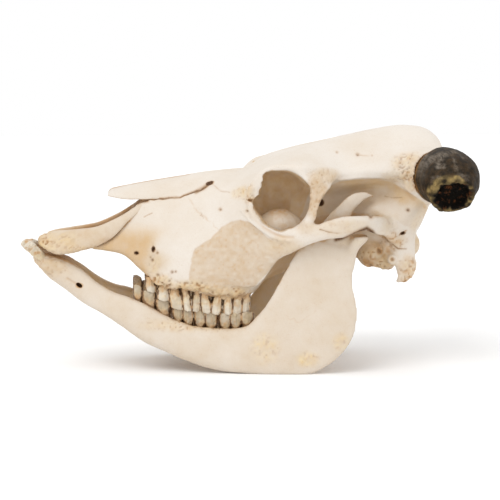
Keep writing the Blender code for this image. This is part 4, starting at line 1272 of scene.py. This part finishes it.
def tooth_material(settings):
    """Worn enamel with tan stains at the roots, painted shade in its gaps and grey dentine on the chewing faces."""
    made, tree, shader = new_material("tooth_looks")
    place = node(tree, "ShaderNodeTexCoord").outputs["Object"]
    brown, dark, grease, grey = stain_sockets(tree)
    mottle = noise(tree, place, 150, 5, 0.6)
    stretched = node(tree, "ShaderNodeMapping", {"Vector": place, "Scale": (1.0, 1.0, 0.16)}).outputs["Vector"]
    streaks = noise(tree, stretched, 700, 4, 0.6)
    colour = mixed(tree, ranged(tree, mottle, 0.35, 0.7, 0.0, 0.45), settings.enamel, TOOTH_TAN)
    colour = mixed(tree, grey, colour, DENTINE)
    yellow = maths(tree, "MULTIPLY", grease, ranged(tree, streaks, 0.3, 0.7, 0.5, 1.2), clamp=True)
    colour = mixed(tree, yellow, colour, settings.grease)
    tan = maths(tree, "MULTIPLY", brown, ranged(tree, streaks, 0.3, 0.7, 0.5, 1.3), clamp=True)
    colour = mixed(tree, tan, colour, settings.brown)
    colour = mixed(tree, dark, colour, settings.crack_dirt_and_shade)
    tree.links.new(colour, shader.inputs["Base Color"])
    tree.links.new(ranged(tree, mottle, 0.3, 0.7, 0.26, 0.48), shader.inputs["Roughness"])
    normal = bumped(tree, streaks, 0.0003, 0.5)
    tree.links.new(bumped(tree, mottle, 0.0006, 0.4, normal), shader.inputs["Normal"])
    return made


def horn_material(settings):
    """Dark, fibrous horn with worn grey streaks, amber edges and a crumbling black core."""
    made, tree, shader = new_material("horn_looks")
    place = node(tree, "ShaderNodeTexCoord").outputs["Object"]
    amber, core, rim, grey = stain_sockets(tree)
    fibres = node(tree, "ShaderNodeMapping", {"Vector": place, "Scale": (1.0, 0.10, 1.0)}).outputs["Vector"]
    streaks = noise(tree, fibres, 420, 5, 0.65)
    mottle = noise(tree, place, 120, 6, 0.65)
    grain = noise(tree, place, 900, 3, 0.6)
    colour = mixed(tree, ranged(tree, mottle, 0.42, 0.75, 0.0, 0.10), settings.horn, settings.horn_amber)
    worn = maths(tree, "MULTIPLY", grey, ranged(tree, streaks, 0.34, 0.66), clamp=True)
    colour = mixed(tree, worn, colour, settings.horn_grey)
    edge = maths(tree, "MULTIPLY", amber, ranged(tree, streaks, 0.3, 0.7, 0.6, 1.2), clamp=True)
    colour = mixed(tree, edge, colour, settings.horn_amber)
    pale = maths(tree, "MULTIPLY", rim, ranged(tree, mottle, 0.3, 0.65, 0.25, 1.15), clamp=True)
    colour = mixed(tree, pale, colour, HORN_RIM)
    burnt = mixed(tree, ranged(tree, mottle, 0.52, 0.66), HORN_CORE_BLACK, HORN_CORE_ORANGE)
    colour = mixed(tree, core, colour, burnt)
    tree.links.new(colour, shader.inputs["Base Color"])
    shader.inputs["Specular IOR Level"].default_value = 0.08
    gloss = ranged(tree, streaks, 0.3, 0.7, 0.50, 0.70)
    tree.links.new(maths(tree, "MAXIMUM", gloss, maths(tree, "MULTIPLY", core, 0.95)), shader.inputs["Roughness"])
    normal = bumped(tree, streaks, 0.0006, 0.6)
    tree.links.new(bumped(tree, grain, 0.0002, 0.4, normal), shader.inputs["Normal"])
    return made


def shared_material(name, make):
    """The material of that name, made on its first use."""
    return bpy.data.materials.get(name) or make()


def finish_piece(obj, name, material, slot, *nodes):
    """Names a piece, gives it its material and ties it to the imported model."""
    obj.name = name
    obj.data.name = name
    obj.data.materials.clear()
    obj.data.materials.append(material)
    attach(obj, BODY)
    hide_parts(*nodes)


def finish_bone(obj, name, slot, settings, carve, *nodes, growth=0.0):
    """Lays the skin of a bone, lets carve work on it, and finishes the piece. A thin bone is grown first."""
    if growth:
        thin, obj = obj, grown_copy(obj, growth)
        bpy.data.objects.remove(thin)
    lay_skin(obj, settings.skin)
    obj = loose_parts(obj, 1)[0]
    skin = Skin(obj)
    skin.ripple(settings.ripple)
    carve(skin)
    # Painted shade goes into the bone's recesses, from the openness of each point.
    skin.finish(openness(skin))
    material_name = f"{slot}_looks"
    material = shared_material(material_name, lambda: bone_material(material_name, settings))
    finish_piece(obj, name, material, slot, *nodes)


def carve_and_shade_cheek_field(skin):
    """Lowers the mottled field of bone on the cheek and paints it darker as shade, behind a crisp front edge."""
    depth = skin.depth_in_field(CHEEK_FIELD, 0.8, 81)
    outer = rise(skin.facing[:, 1], 0.0, 0.3) * rise(skin.point[:, 1], 52, 58)
    field = rise(depth, -0.4, 1.0) * outer
    mottle = lumps(skin.point, 4, 83)
    skin.lift -= CHEEK_FIELD_DEPTH * field * rise(depth, 30, 4)
    skin.lift += field * 0.35 * (lumps(skin.point, 4.5, 84) + 0.6 * lumps(skin.point, 2.4, 85))
    # Painted shade of the down-facing field, beige and brown, with mottling.
    skin.add_stain("beige", field * (0.85 + 0.15 * mottle) * np.interp(skin.point[:, 0], (15, 70), (1.0, 0.5)))
    skin.add_stain("brown", field * (0.12 * (1 + mottle) + 0.25 * rise(lumps(skin.point, 2.6, 80), 0.35, 0.7)))
    edge = rise(depth, -1.2, 0.2) * rise(depth, 2.0, 0.4) * outer * rise(skin.point[:, 0], 20, -10)
    skin.add_stain("brown", 0.26 * edge * (0.6 + 0.8 * lumps(skin.point, 5, 86)))


def paint_chink_shade(skin):
    """Paints shade in brown and dark on the edges of the chink between the cheek arch and the lower jaw."""
    reach = skin.reach_of_side_line(HINGE_CHINK, 2.3, 0.3, 87) * rise(skin.point[:, 1], 72, 78)
    skin.add_stain("brown", reach)
    skin.add_stain("dark", 0.9 * reach)


def carve_ear_ring(skin):
    """A raised, pale ring round a hole below the ear, with brown and dark painted shade in the hole."""
    x, out, z = EAR_RING_PLACE
    away = np.hypot(skin.point[:, 0] - x, skin.point[:, 2] - z) + 0.3 * lumps(skin.point, 3, 82)
    near = rise(skin.point[:, 1], out - 14, out - 8) * rise(skin.facing[:, 1], -0.2, 0.3)
    ring = np.exp(-(((away - 4.2) / 1.3) ** 2)) * near
    hole = rise(away, 3.0, 1.6) * near
    skin.lift += 1.6 * ring - 1.2 * hole
    for name in ("brown", "dark", "grease"):
        skin.stain[name] *= 1 - 0.85 * ring
    # Painted shade in the hole.
    skin.add_stain("brown", 0.9 * hole)
    skin.add_stain("dark", 0.45 * hole)


def paint_orbit_stain_and_shade(skin):
    """Brown walls of the eye socket, part stain and part painted shade, and the tear bone's pale dome under a brown
    upper edge.
    """
    rim = ORBIT_CENTRE[1] + np.tan(np.radians(ORBIT_LEAN)) * (skin.point[:, 0] - ORBIT_CENTRE[0])
    depth = skin.depth_in_field(ORBIT_OUTLINE, 0.4, 91)
    depth += 5 * rise(skin.point[:, 1], 90, 70) * rise(skin.point[:, 0], 42, 52)
    inside = rise(depth, -0.9, 0.6) * rise(skin.point[:, 1], rim + 1, rim - 5)
    inside *= rise(skin.point[:, 1], 34, 38)
    mottle = lumps(skin.point, 9, 92) + 0.6 * lumps(skin.point, 3.5, 93)
    away = np.linalg.norm((skin.point - TEAR_BONE_DOME.centre) / TEAR_BONE_DOME.radii, axis=1)
    dome = rise(abs(away - 1), 0.12, 0.05) * rise(skin.point[:, 1], 62, 66) * inside
    top = rise(skin.point[:, 2], 183, 189) * rise(lumps(skin.point, 3, 94), -0.6, 0.3)
    skin.clean = np.maximum(skin.clean, np.maximum(0.95 * inside, dome * (1 - top)))
    # Stain and painted shade of the socket walls together: brown, beige and grease.
    skin.add_stain("brown", inside * (1 - dome) * np.clip(0.46 + 0.20 * mottle, 0, 1))
    skin.add_stain("brown", dome * (0.04 + 0.5 * top + 0.25 * rise(lumps(skin.point, 4, 90), 0.2, 0.6)))
    skin.add_stain("beige", inside * (1 - dome))
    skin.add_stain("grease", inside * (1 - dome) * 0.55)


def paint_temple_stain_and_shade(skin):
    """Beige walls and a brown roof in the hollow of the temple, stain and painted shade under the crest."""
    field = rise(skin.depth_in_field(TEMPLE_FIELD, 0.6, 95), -1.0, 1.5) * rise(skin.point[:, 1], 93, 86)
    field *= rise(skin.point[:, 1], 38, 44)
    falling = np.interp(skin.point[:, 0], (150, 205), (0, 26))
    roof = rise(skin.point[:, 2] + falling + 5 * lumps(skin.point, 12, 96), 200, 222)
    roof = np.maximum(roof, 0.8 * rise(skin.point[:, 0] + 0.5 * (skin.point[:, 2] - 190), 92, 78))
    skin.clean = np.maximum(skin.clean, 0.95 * field)
    # Stain and painted shade together, most of it on the roof under the crest.
    skin.add_stain("brown", field * (0.07 + 0.33 * roof) * (0.85 + 0.4 * lumps(skin.point, 4, 97)))
    skin.add_stain("beige", field * (0.45 + 0.55 * roof))
    skin.add_stain("grease", field * 0.5 * roof)


def carve_suture(skin):
    """A faint, wandering, broken line over the seam of the upper jaws."""
    seam = skin.reach_of_side_line(UPPER_JAW_SEAM, 0.8, 1.6, 98)
    seam *= rise(skin.depth_in_field(CHEEK_FIELD, 0.8, 81), 1.5, -1.5)
    broken = rise(lumps(skin.point, 9, 99), -0.5, 0.4)
    skin.lift -= 0.3 * seam * broken
    skin.add_stain("brown", 0.32 * seam * broken)


def carve_upper_skull(skin):
    """Stains and carves the cranium and the upper jaws. Their inner sides get tan and greasy colour as painted shade.
    """
    low = rise(skin.point[:, 2], 176, 150) * rise(skin.point[:, 0], 150, 100)
    inner = low * np.maximum(rise(skin.facing[:, 1], -0.05, -0.6), rise(skin.point[:, 1], 54, 44))
    # Painted shade on the inner sides, in tan, beige and grease.
    skin.add_stain("brown", 0.5 * inner)
    skin.add_stain("beige", inner)
    skin.add_stain("grease", 0.5 * inner)
    skin.clean = np.maximum(skin.clean, 0.6 * inner)
    carve_and_shade_cheek_field(skin)
    paint_orbit_stain_and_shade(skin)
    paint_temple_stain_and_shade(skin)
    paint_chink_shade(skin)
    carve_suture(skin)
    skin.paint_hole_shade(SKULL_HOLES[:-1])
    skin.roughen(SKULL_PATCHES)
    for lines in (SKULL_RIDGES, SKULL_VALLEYS, SKULL_LINES, MUZZLE_LINES[1:], ROOF_LINES, GUM_LINES[:1]):
        skin.carve_lines(lines)
    skin.carve_pits(SKULL_PITS)
    carve_ear_ring(skin)


def carve_lower_jaw(skin):
    """Stains and carves one half of the lower jaw, beige outside and tan inside, the tan being painted shade."""
    inner = rise(skin.facing[:, 1], 0.1, -0.7)
    # Painted shade on the inner side, in tan and grease.
    skin.add_stain("brown", 0.42 * inner)
    skin.add_stain("grease", 0.6 * inner)
    skin.clean = np.maximum(skin.clean, 0.9 * inner)
    skin.add_stain("beige", 0.55 + 0.2 * lumps(skin.point, 26, 88))
    paint_chink_shade(skin)
    skin.paint_hole_shade(JAW_HOLES)
    skin.roughen(JAW_PATCHES)
    skin.carve_lines(JAW_LINES)
    skin.carve_lines(GUM_LINES[1:])


def carve_muzzle(skin):
    """Stains and carves the bone at the front of the muzzle, with brown painted shade inside."""
    inner = rise(skin.facing[:, 1], -0.1, -0.8)
    # Painted shade on the inner side.
    skin.add_stain("brown", 0.85 * inner)
    skin.add_stain("beige", 0.8)
    skin.roughen(MUZZLE_PATCHES)
    skin.carve_lines(MUZZLE_LINES)


def carve_nasal(skin):
    """Stains and carves a nasal bone, with brown painted shade below."""
    inner = rise(skin.facing[:, 2], -0.1, -0.8)
    # Painted shade on the underside.
    skin.add_stain("brown", 0.6 * inner)
    skin.carve_lines(NASAL_LINES)


class SKULL_OT_add_upper_skull(bpy.types.Operator):
    """Add the cranium and the two upper jaw bones"""

    bl_idname = "skull.add_upper_skull"
    bl_label = "Upper Skull"

    def execute(self, context):
        settings = context.scene.skull
        skull = skull_clay()
        cut_skull_hollows(skull)
        for side in SIDES.values():
            rooms = ((nasal_clay(side), SHEET_ROOM), (premaxilla_clay(side), SHEET_ROOM), (horn_clay(side), HORN_ROOM))
            for clay, room in rooms:
                combine(skull, [grown_copy(clay, room)], "DIFFERENCE")
                bpy.data.objects.remove(clay)
        face = skull.copy()
        face.data = skull.data.copy()
        context.scene.collection.objects.link(face)
        combine(skull, [upper_jaw_block(-SEAM_LAP, -FAR / 2, FAR / 2)], "DIFFERENCE")
        combine(face, [upper_jaw_block(SEAM_LAP, -FAR / 2, FAR / 2)], "INTERSECT")
        combine(face, [upper_jaw_block(2 * SEAM_LAP, -SEAM / 2, SEAM / 2)], "DIFFERENCE")
        cranium = loose_parts(skull, 1)[0]
        jaws = loose_parts(face, 2)
        join_forms(cranium, egg_objects([TEAR_BONE_DOME]))
        jaws.sort(key=lambda jaw: np.mean([v.co.y for v in jaw.data.vertices]))
        finish_bone(cranium, "skull_cranium", "skull_bone", settings, carve_upper_skull, "cranium")
        for word, jaw in zip(SIDES, jaws):
            finish_bone(
                jaw, f"upper_jaw_{word}", "skull_bone", settings, carve_upper_skull, f"maxilla_{word}"
            )
        return {"FINISHED"}


class SKULL_OT_add_nasals(bpy.types.Operator):
    """Add the two nasal bones"""

    bl_idname = "skull.add_nasals"
    bl_label = "Nasal Bones"

    def execute(self, context):
        for word, side in SIDES.items():
            finish_bone(
                nasal_clay(side), f"nasal_bone_{word}", "skull_bone", context.scene.skull, carve_nasal,
                f"nasal_{word}", growth=SHEET_GROWTH,
            )
        return {"FINISHED"}


class SKULL_OT_add_muzzle(bpy.types.Operator):
    """Add the two bones at the front of the muzzle"""

    bl_idname = "skull.add_muzzle"
    bl_label = "Muzzle Bones"

    def execute(self, context):
        for word, side in SIDES.items():
            finish_bone(
                premaxilla_clay(side), f"muzzle_bone_{word}", "skull_bone", context.scene.skull, carve_muzzle,
                f"premaxilla_{word}", growth=SHEET_GROWTH,
            )
        return {"FINISHED"}


class SKULL_OT_add_lower_jaw(bpy.types.Operator):
    """Add the two halves of the lower jaw"""

    bl_idname = "skull.add_lower_jaw"
    bl_label = "Lower Jaw"

    def execute(self, context):
        for word, side in SIDES.items():
            bm = bmesh.new()
            for ribs in (JAW_RIBS, CORONOID_RIBS, JAW_HINGE_RIBS):
                add_ribs(bm, ribs, side)
            jaw = object_from(bm, "jaw")
            fuse_clay(jaw, *JAW_CLAY, subdivided=1)
            combine(jaw, [middle_block("middle", side)], "DIFFERENCE")
            combine(jaw, [box_object("table", (-FAR, -FAR, -FAR), (FAR, FAR, 0))], "DIFFERENCE")
            combine(jaw, egg_objects(JAW_HOLES), "DIFFERENCE")
            finish_bone(
                jaw, f"lower_jaw_{word}", "jaw_bone", context.scene.skull, carve_lower_jaw, f"mandible_{word}"
            )
        return {"FINISHED"}


LOBE_POINTS = 28
LOBE_ROWS = 10
# Levels, from root to crown, between which a lobe widens from its neck to its full length.
LOBE_WIDENS = (0.15, 0.78)
# Share of the width and height in mm of the rings that go inwards over a chewing face.
CHEWING_RINGS = ((0.86, 0.7), (0.72, -0.6), (0.5, -1.2), (0.3, -0.4), (0.12, -0.9))
LOBE_RIDGES = ((0.55, 0.16), (1.57, 0.10), (2.6, 0.16))
LOBE_RIDGE_WIDTH = 0.2
# Each lobe is this much longer at both ends, and its inner half is wide enough to close the row.
LOBE_LAP = 0.6
LOBE_INNER = 1.1


def add_lobe(bm, lobe, side):
    """One lobe of a cheek tooth: a ridged column, with a hollowed chewing face that slopes with the tooth row."""
    middle = (lobe.front + lobe.rear) / 2
    half_long = (lobe.rear - lobe.front) / 2 + LOBE_LAP
    crown = sum(lobe.crown) / 2
    slope = (lobe.crown[1] - lobe.crown[0]) / 2
    outwards = np.sign(crown - lobe.root)
    angles = 2 * np.pi * np.arange(LOBE_POINTS) / LOBE_POINTS
    ridge = np.ones(LOBE_POINTS)
    for angle, height in LOBE_RIDGES:
        ridge += height * np.exp(-(((angles - angle) / LOBE_RIDGE_WIDTH) ** 2))
    ridge *= 1 - 0.05 * np.cos(4 * angles)
    rings = []
    levels = [(k / LOBE_ROWS, 1.0, 0.0) for k in range(LOBE_ROWS + 1)]
    levels += [(1.0, share, height) for share, height in CHEWING_RINGS]
    for level, share, above in levels:
        widened = rise(level, *LOBE_WIDENS)
        length = half_long * (lobe.neck + (1 - lobe.neck) * widened) * (1 - 0.06 * rise(level, 0.85, 1.0))
        start = middle + lobe.lean * (1 - level)
        ring = []
        for angle, swell in zip(angles, ridge):
            c, s = np.cos(angle) * swell * share, np.sin(angle) * swell * share
            inner = rise(s, 0.3, -0.3) * (1 - 0.8 * rise(level, 0.8, 1.0))
            long = length * (1 - inner) + half_long * LOBE_INNER * inner
            cusp = (1.1 * s - 0.8 * c * c) * outwards * level
            z = lobe.root + (crown - lobe.root + slope * c) * level + outwards * above + cusp
            ring.append(placed((start + long * c, lobe.out + lobe.width / 2 * s, z), side))
        rings.append(ring)
    skin_rings(bm, rings)


def add_incisor(bm, number, side):
    """One spade-shaped front tooth, fanned outwards from the middle of the jaw."""
    root = np.array(INCISOR_ROOT) + np.array(INCISOR_ROOT_STEP) * number
    crown = np.array(INCISOR_CROWN) + np.array(INCISOR_CROWN_STEP) * number
    width = INCISOR_WIDTH + INCISOR_WIDTH_STEP * number
    ahead = (crown - root) / np.linalg.norm(crown - root)
    flat = np.array([INCISOR_TURN_STEP * (number + 1), 1.0, 0.0])
    flat -= ahead * (flat @ ahead)
    flat /= np.linalg.norm(flat)
    through = np.cross(ahead, flat)
    rings = []
    for share, wide, thick in smooth_rows(INCISOR_LEVELS, 5):
        middle = root + (crown - root) * share
        ring = []
        for angle in 2 * np.pi * np.arange(INCISOR_POINTS) / INCISOR_POINTS:
            x, out, z = middle + flat * np.cos(angle) * width / 2 * wide + through * np.sin(angle) * thick / 2
            ring.append(placed((x, out, min(z, INCISOR_TOP)), side))
        rings.append(ring)
    skin_rings(bm, rings)


def finish_teeth(bm, name, lobes, settings, node_name):
    """Fuses a row of teeth, carves and stains it, and finishes the piece."""
    obj = object_from(bm, name)
    lay_skin(obj, settings.tooth_skin, 1)
    skin = Skin(obj)
    skin.lift += 0.75 * lumps(skin.point * (1, 1, 0.5), 3.4, 21) + 0.4 * lumps(skin.point, 1.9, 22)
    for lobe in lobes:
        stain_lobe(skin, lobe)
    patchy = lumps(skin.point, 6, 23)
    is_lower = "lower" in name
    skin.add_stain("beige", (0.85 if is_lower else 0.25) + 0.45 * patchy)
    skin.add_stain("grease", (0.3 if is_lower else 0.1) + 0.2 * patchy)
    if not lobes:
        skin.add_stain("grease", 0.6 * rise(skin.point[:, 2], 146, 134))
        skin.add_stain("brown", 0.9 * rise(lumps(skin.point, 4, 8), 0.15, 0.5))
    # Painted shade goes into the recesses of the teeth, from the openness of each point.
    skin.finish(openness(skin), 0.55)
    material = shared_material("tooth_looks", lambda: tooth_material(settings))
    slot = "skull_bone" if "upper" in name else "jaw_bone"
    finish_piece(obj, name, material, slot, node_name)


def stain_lobe(skin, lobe):
    """Tan roots, brown and dark painted shade in the gaps beside the lobe and on its inner side, and a grey chewing
    face.
    """
    z = skin.point[:, 2]
    crown = sum(lobe.crown) / 2
    outwards = np.sign(crown - lobe.root)
    share = (z - lobe.root) / (crown - lobe.root)
    middle = (lobe.front + lobe.rear) / 2 + lobe.lean * (1 - share)
    away = abs(skin.point[:, 0] - middle) / (lobe.rear - lobe.front) * 2
    inside = away < 1.06
    skin.add_stain("grease", inside * 0.7 * rise(share + 0.25 * lumps(skin.point, 4, 71), 0.95, 0.4))
    skin.add_stain("brown", inside * 0.85 * rise(share + 0.3 * lumps(skin.point, 3, 72), 0.74, 0.3))
    # Painted shade in the gaps beside the lobe, brown and, in the narrowest part, dark.
    skin.add_stain("brown", inside * 0.95 * rise(away, 0.66, 0.92))
    split = 0.86 - 0.2 * rise(share, 0.75, 0.4)
    skin.add_stain("dark", inside * 0.85 * rise(away + 0.25 * lumps(skin.point, 3, 73), split, split + 0.16))
    # Painted shade on the inner side of the lobe.
    inner_side_shade = rise(skin.point[:, 1], lobe.out + 0.2 * lobe.width, lobe.out)
    core = inner_side_shade * rise(skin.point[:, 1], lobe.out - 0.45 * lobe.width, lobe.out - 0.2 * lobe.width)
    skin.add_stain("brown", inside * np.maximum(0.9 * core, 0.3 * inner_side_shade))
    skin.add_stain("dark", inside * 0.5 * core)
    # Painted shade where a lower tooth goes into its bone.
    if outwards > 0:
        gum = np.array(LOWER_GUM)
        edge = np.interp(skin.point[:, 0], gum[:, 0], gum[:, 2]) - 2.2 + 6.5 * away**2 + lumps(skin.point, 3, 74)
        skin.add_stain("brown", inside * rise(z, edge + 1.2, edge - 0.6))
        skin.add_stain("dark", inside * 0.65 * rise(z, edge + 0.5, edge - 1.0))
    chewing = rise(skin.facing[:, 2] * outwards, 0.5, 0.9) * rise(share, 0.8, 0.95)
    skin.add_stain("beige", inside * 0.8 * chewing)


class SKULL_OT_add_cheek_teeth(bpy.types.Operator):
    """Add the four rows of cheek teeth"""

    bl_idname = "skull.add_cheek_teeth"
    bl_label = "Cheek Teeth"

    def execute(self, context):
        rows = (("upper", UPPER_LOBES, "maxilla"), ("lower", LOWER_LOBES, "mandible"))
        for row, lobes, bone in rows:
            for word, side in SIDES.items():
                bm = bmesh.new()
                for lobe in lobes:
                    add_lobe(bm, lobe, side)
                finish_teeth(bm, f"{row}_teeth_{word}", lobes, context.scene.skull, f"{bone}_{word}")
        return {"FINISHED"}


class SKULL_OT_add_front_teeth(bpy.types.Operator):
    """Add the front teeth of the lower jaw"""

    bl_idname = "skull.add_front_teeth"
    bl_label = "Front Teeth"

    def execute(self, context):
        for word, side in SIDES.items():
            bm = bmesh.new()
            for number in range(INCISOR_COUNT):
                add_incisor(bm, number, side)
            finish_teeth(bm, f"front_teeth_{word}", (), context.scene.skull, f"mandible_{word}")
        return {"FINISHED"}


HORN_POINTS = 180
HORN_STEPS = 22
# Radius, length and end of the plain cylinder that the random heights of the horn are read from, in mm.
HORN_GIRTH = 30
HORN_LENGTH = 90
HORN_END = 100.0
# Share of the end radius and depth in mm of the rings that go inwards over the broken end of the horn.
HORN_END_RINGS = (
    (0.985, 0.4), (0.94, 0.9), (0.86, 1.0), (0.78, 0.7), (0.72, -0.4), (0.68, -2.5), (0.64, -5.0), (0.58, -6.5),
    (0.48, -6.8), (0.38, -6.2), (0.28, -7.0), (0.18, -6.4), (0.08, -6.8),
)


def add_horn(bm, side):
    """One horn with growth rings, fibres, a ragged base and a broken, hollowed end."""
    rows, along = horn_rows(HORN_STEPS)
    angles = 2 * np.pi * np.arange(HORN_POINTS) / HORN_POINTS
    circle = np.stack([np.cos(angles), np.sin(angles)], axis=1)
    rings = []
    for number, (row, ahead) in enumerate(zip(rows, along)):
        share = number / (len(rows) - 1)
        place = np.column_stack([circle * HORN_GIRTH, np.full(HORN_POINTS, share * HORN_LENGTH)])
        fibre = lumps(place * (1, 1, 0.12), 2.2, 31)
        growth = 0.13 * np.sin(share * 46 + 1.5 * lumps(place, 22, 32)) * rise(share, 0.9, 0.3)
        radii = row[3] + 0.2 * fibre + growth + 1.1 * lumps(place, 16, 33) - 0.7
        start = row[:3] + ahead * (rise(share, 0.06, 0.0) * 1.2 * lumps(place, 5, 34))[:, None]
        rings.append(horn_ring(row[:3], ahead, radii) + (start - row[:3]))
    end, ahead = rows[-1], along[-1]
    for share, height in HORN_END_RINGS:
        place = np.column_stack([circle * HORN_GIRTH * share, np.full(HORN_POINTS, HORN_END)])
        rough = lumps(place, 6, 35) * 3.2 + lumps(place, 2.6, 36) * 1.8
        amount = np.interp(share, (0.6, 0.75, 1.0), (1.0, 0.4, 0.2))
        swell = 1 + 0.10 * lumps(place, 9, 37)
        ring = horn_ring(end[:3], ahead, end[3] * share * swell)
        rings.append(ring + ahead * (height + rough * amount)[:, None])
    skin_rings(bm, [[placed(point, side) for point in ring] for ring in rings])


def stain_horn(skin):
    """Amber at the base, worn grey flecks above, a pale rim and a black core at the broken end."""
    rows, along = horn_rows(HORN_STEPS)
    end, ahead = rows[-1], along[-1]
    offset = skin.point - end[:3]
    height = offset @ ahead
    radius = np.linalg.norm(offset - height[:, None] * ahead, axis=1) / end[3]
    radius += 0.13 * lumps(skin.point, 7, 54) + 0.06 * lumps(skin.point, 3, 57)
    up = rise(skin.point[:, 2], 190, 225) * rise(skin.point[:, 0], 236, 205)
    rim = rise(radius, 0.70, 0.80) * rise(height + 3 * lumps(skin.point, 6, 58), -3 - 5 * up, -0.5 - 3 * up)
    skin.add_stain("grease", rim * (0.35 + 0.3 * up + 0.8 * lumps(skin.point, 4, 53)))
    skin.add_stain("dark", rise(height, -16, -8) * rise(radius, 0.84, 0.76))
    front_top = rise(skin.facing[:, 2] - skin.facing[:, 0], -0.4, 0.8)
    base = rise(skin.point[:, 1] + 5 * lumps(skin.point, 8, 55), 104, 86)
    skin.add_stain("brown", base * (0.25 + 0.55 * front_top) * (0.75 + 0.4 * lumps(skin.point, 5, 51)))
    top = rise(skin.facing[:, 2], -0.3, 0.8) * rise(skin.point[:, 1], 92, 104)
    flecks = rise(lumps(skin.point * (1, 0.45, 1), 6, 52) + 0.8 * lumps(skin.point, 16, 56), -0.3, 0.6)
    top *= rise(skin.point[:, 0], 240, 216)
    skin.add_stain("beige", top * (0.12 + 0.95 * flecks))


class SKULL_OT_add_horns(bpy.types.Operator):
    """Add the two tipped horns"""

    bl_idname = "skull.add_horns"
    bl_label = "Horns"

    def execute(self, context):
        for word, side in SIDES.items():
            bm = bmesh.new()
            add_horn(bm, side)
            obj = object_from(bm, "horn")
            skin = Skin(obj)
            stain_horn(skin)
            skin.finish()
            material = shared_material("horn_looks", lambda: horn_material(context.scene.skull))
            finish_piece(obj, f"horn_sheath_{word}", material, "horn", f"horn_{word}")
        return {"FINISHED"}


KEY_PLACE = (-0.9, -1.0, 1.7)
KEY_SOFTNESS = 35
FILL_PLACE = (1.3, -1.1, 0.9)
FILL_SIZE = 0.9
SENSOR_WIDTH = 36.0


def add_lamp(lamp, place, target):
    """A lamp at a place, facing the target."""
    obj = bpy.data.objects.new(lamp.name, lamp)
    obj.location = place
    obj.rotation_mode = "QUATERNION"
    obj.rotation_quaternion = (Vector(target) - Vector(place)).to_track_quat("-Z", "Y")
    bpy.context.scene.collection.objects.link(obj)


class SKULL_OT_add_stage(bpy.types.Operator):
    """Add the camera, the pale floor and the studio light"""

    bl_idname = "skull.add_stage"
    bl_label = "Stage"

    def execute(self, context):
        stage = context.scene.skull_stage
        target = Vector((-MIDDLE_X * MM, 0.0, stage.target_height))
        azimuth, elevation = stage.azimuth, stage.elevation
        back = Vector(
            (np.sin(azimuth) * np.cos(elevation), -np.cos(azimuth) * np.cos(elevation), np.sin(elevation))
        )
        camera = bpy.data.cameras.new("camera")
        camera.lens = stage.lens
        camera.sensor_width = SENSOR_WIDTH
        obj = bpy.data.objects.new("camera", camera)
        obj.location = target + back * stage.distance
        obj.rotation_mode = "QUATERNION"
        obj.rotation_quaternion = (-back).to_track_quat("-Z", "Y")
        context.scene.collection.objects.link(obj)
        context.scene.camera = obj

        key = bpy.data.lights.new("key_lamp", "SUN")
        key.energy = stage.key_strength
        key.angle = np.radians(KEY_SOFTNESS)
        add_lamp(key, KEY_PLACE, target)
        fill = bpy.data.lights.new("fill_lamp", "AREA")
        fill.shape = "DISK"
        fill.size = FILL_SIZE
        fill.energy = stage.fill_power
        add_lamp(fill, FILL_PLACE, target)

        world = bpy.data.worlds.new("studio")
        world.use_nodes = True
        background = world.node_tree.nodes["Background"]
        background.inputs["Color"].default_value = (1.0, 1.0, 1.0, 1.0)
        background.inputs["Strength"].default_value = stage.sky
        context.scene.world = world
        context.scene.view_settings.view_transform = "Standard"

        bm = bmesh.new()
        bmesh.ops.create_grid(bm, x_segments=1, y_segments=1, size=stage.floor_size / 2)
        floor = object_from(bm, "floor")
        made, tree, shader = new_material("floor")
        place = node(tree, "ShaderNodeTexCoord").outputs["Object"]
        shade = ranged(tree, noise(tree, place, 900, 2), 0.3, 0.7, 0.0, 0.03)
        tree.links.new(mixed(tree, shade, FLOOR_LIGHT, FLOOR_SHADE), shader.inputs["Base Color"])
        shader.inputs["Roughness"].default_value = 0.85
        shader.inputs["Specular IOR Level"].default_value = 0.1
        floor.data.materials.append(made)
        return {"FINISHED"}


class SKULL_PT_panel(bpy.types.Panel):
    bl_idname = "SKULL_PT_panel"
    bl_label = "Cow Skull"
    bl_space_type = "VIEW_3D"
    bl_region_type = "UI"
    bl_category = "Skull"

    def draw(self, context):
        layout = self.layout
        for settings in (context.scene.skull, context.scene.skull_stage):
            box = layout.box()
            for name in settings.__annotations__:
                box.prop(settings, name)
        for operator in OPERATORS:
            layout.operator(operator.bl_idname)


OPERATORS = (
    SKULL_OT_add_stage,
    SKULL_OT_add_upper_skull,
    SKULL_OT_add_nasals,
    SKULL_OT_add_muzzle,
    SKULL_OT_add_lower_jaw,
    SKULL_OT_add_cheek_teeth,
    SKULL_OT_add_front_teeth,
    SKULL_OT_add_horns,
)
CLASSES = (SkullSettings, StageSettings, *OPERATORS, SKULL_PT_panel)


def register():
    for cls in CLASSES:
        bpy.utils.register_class(cls)
    bpy.types.Scene.skull = PointerProperty(type=SkullSettings)
    bpy.types.Scene.skull_stage = PointerProperty(type=StageSettings)


def unregister():
    del bpy.types.Scene.skull_stage
    del bpy.types.Scene.skull
    for cls in reversed(CLASSES):
        bpy.utils.unregister_class(cls)


def main():
    register()
    bpy.ops.skull.add_stage()
    bpy.ops.skull.add_upper_skull()
    bpy.ops.skull.add_nasals()
    bpy.ops.skull.add_muzzle()
    bpy.ops.skull.add_lower_jaw()
    bpy.ops.skull.add_cheek_teeth()
    bpy.ops.skull.add_front_teeth()
    bpy.ops.skull.add_horns()


if __name__ == "__main__":
    main()
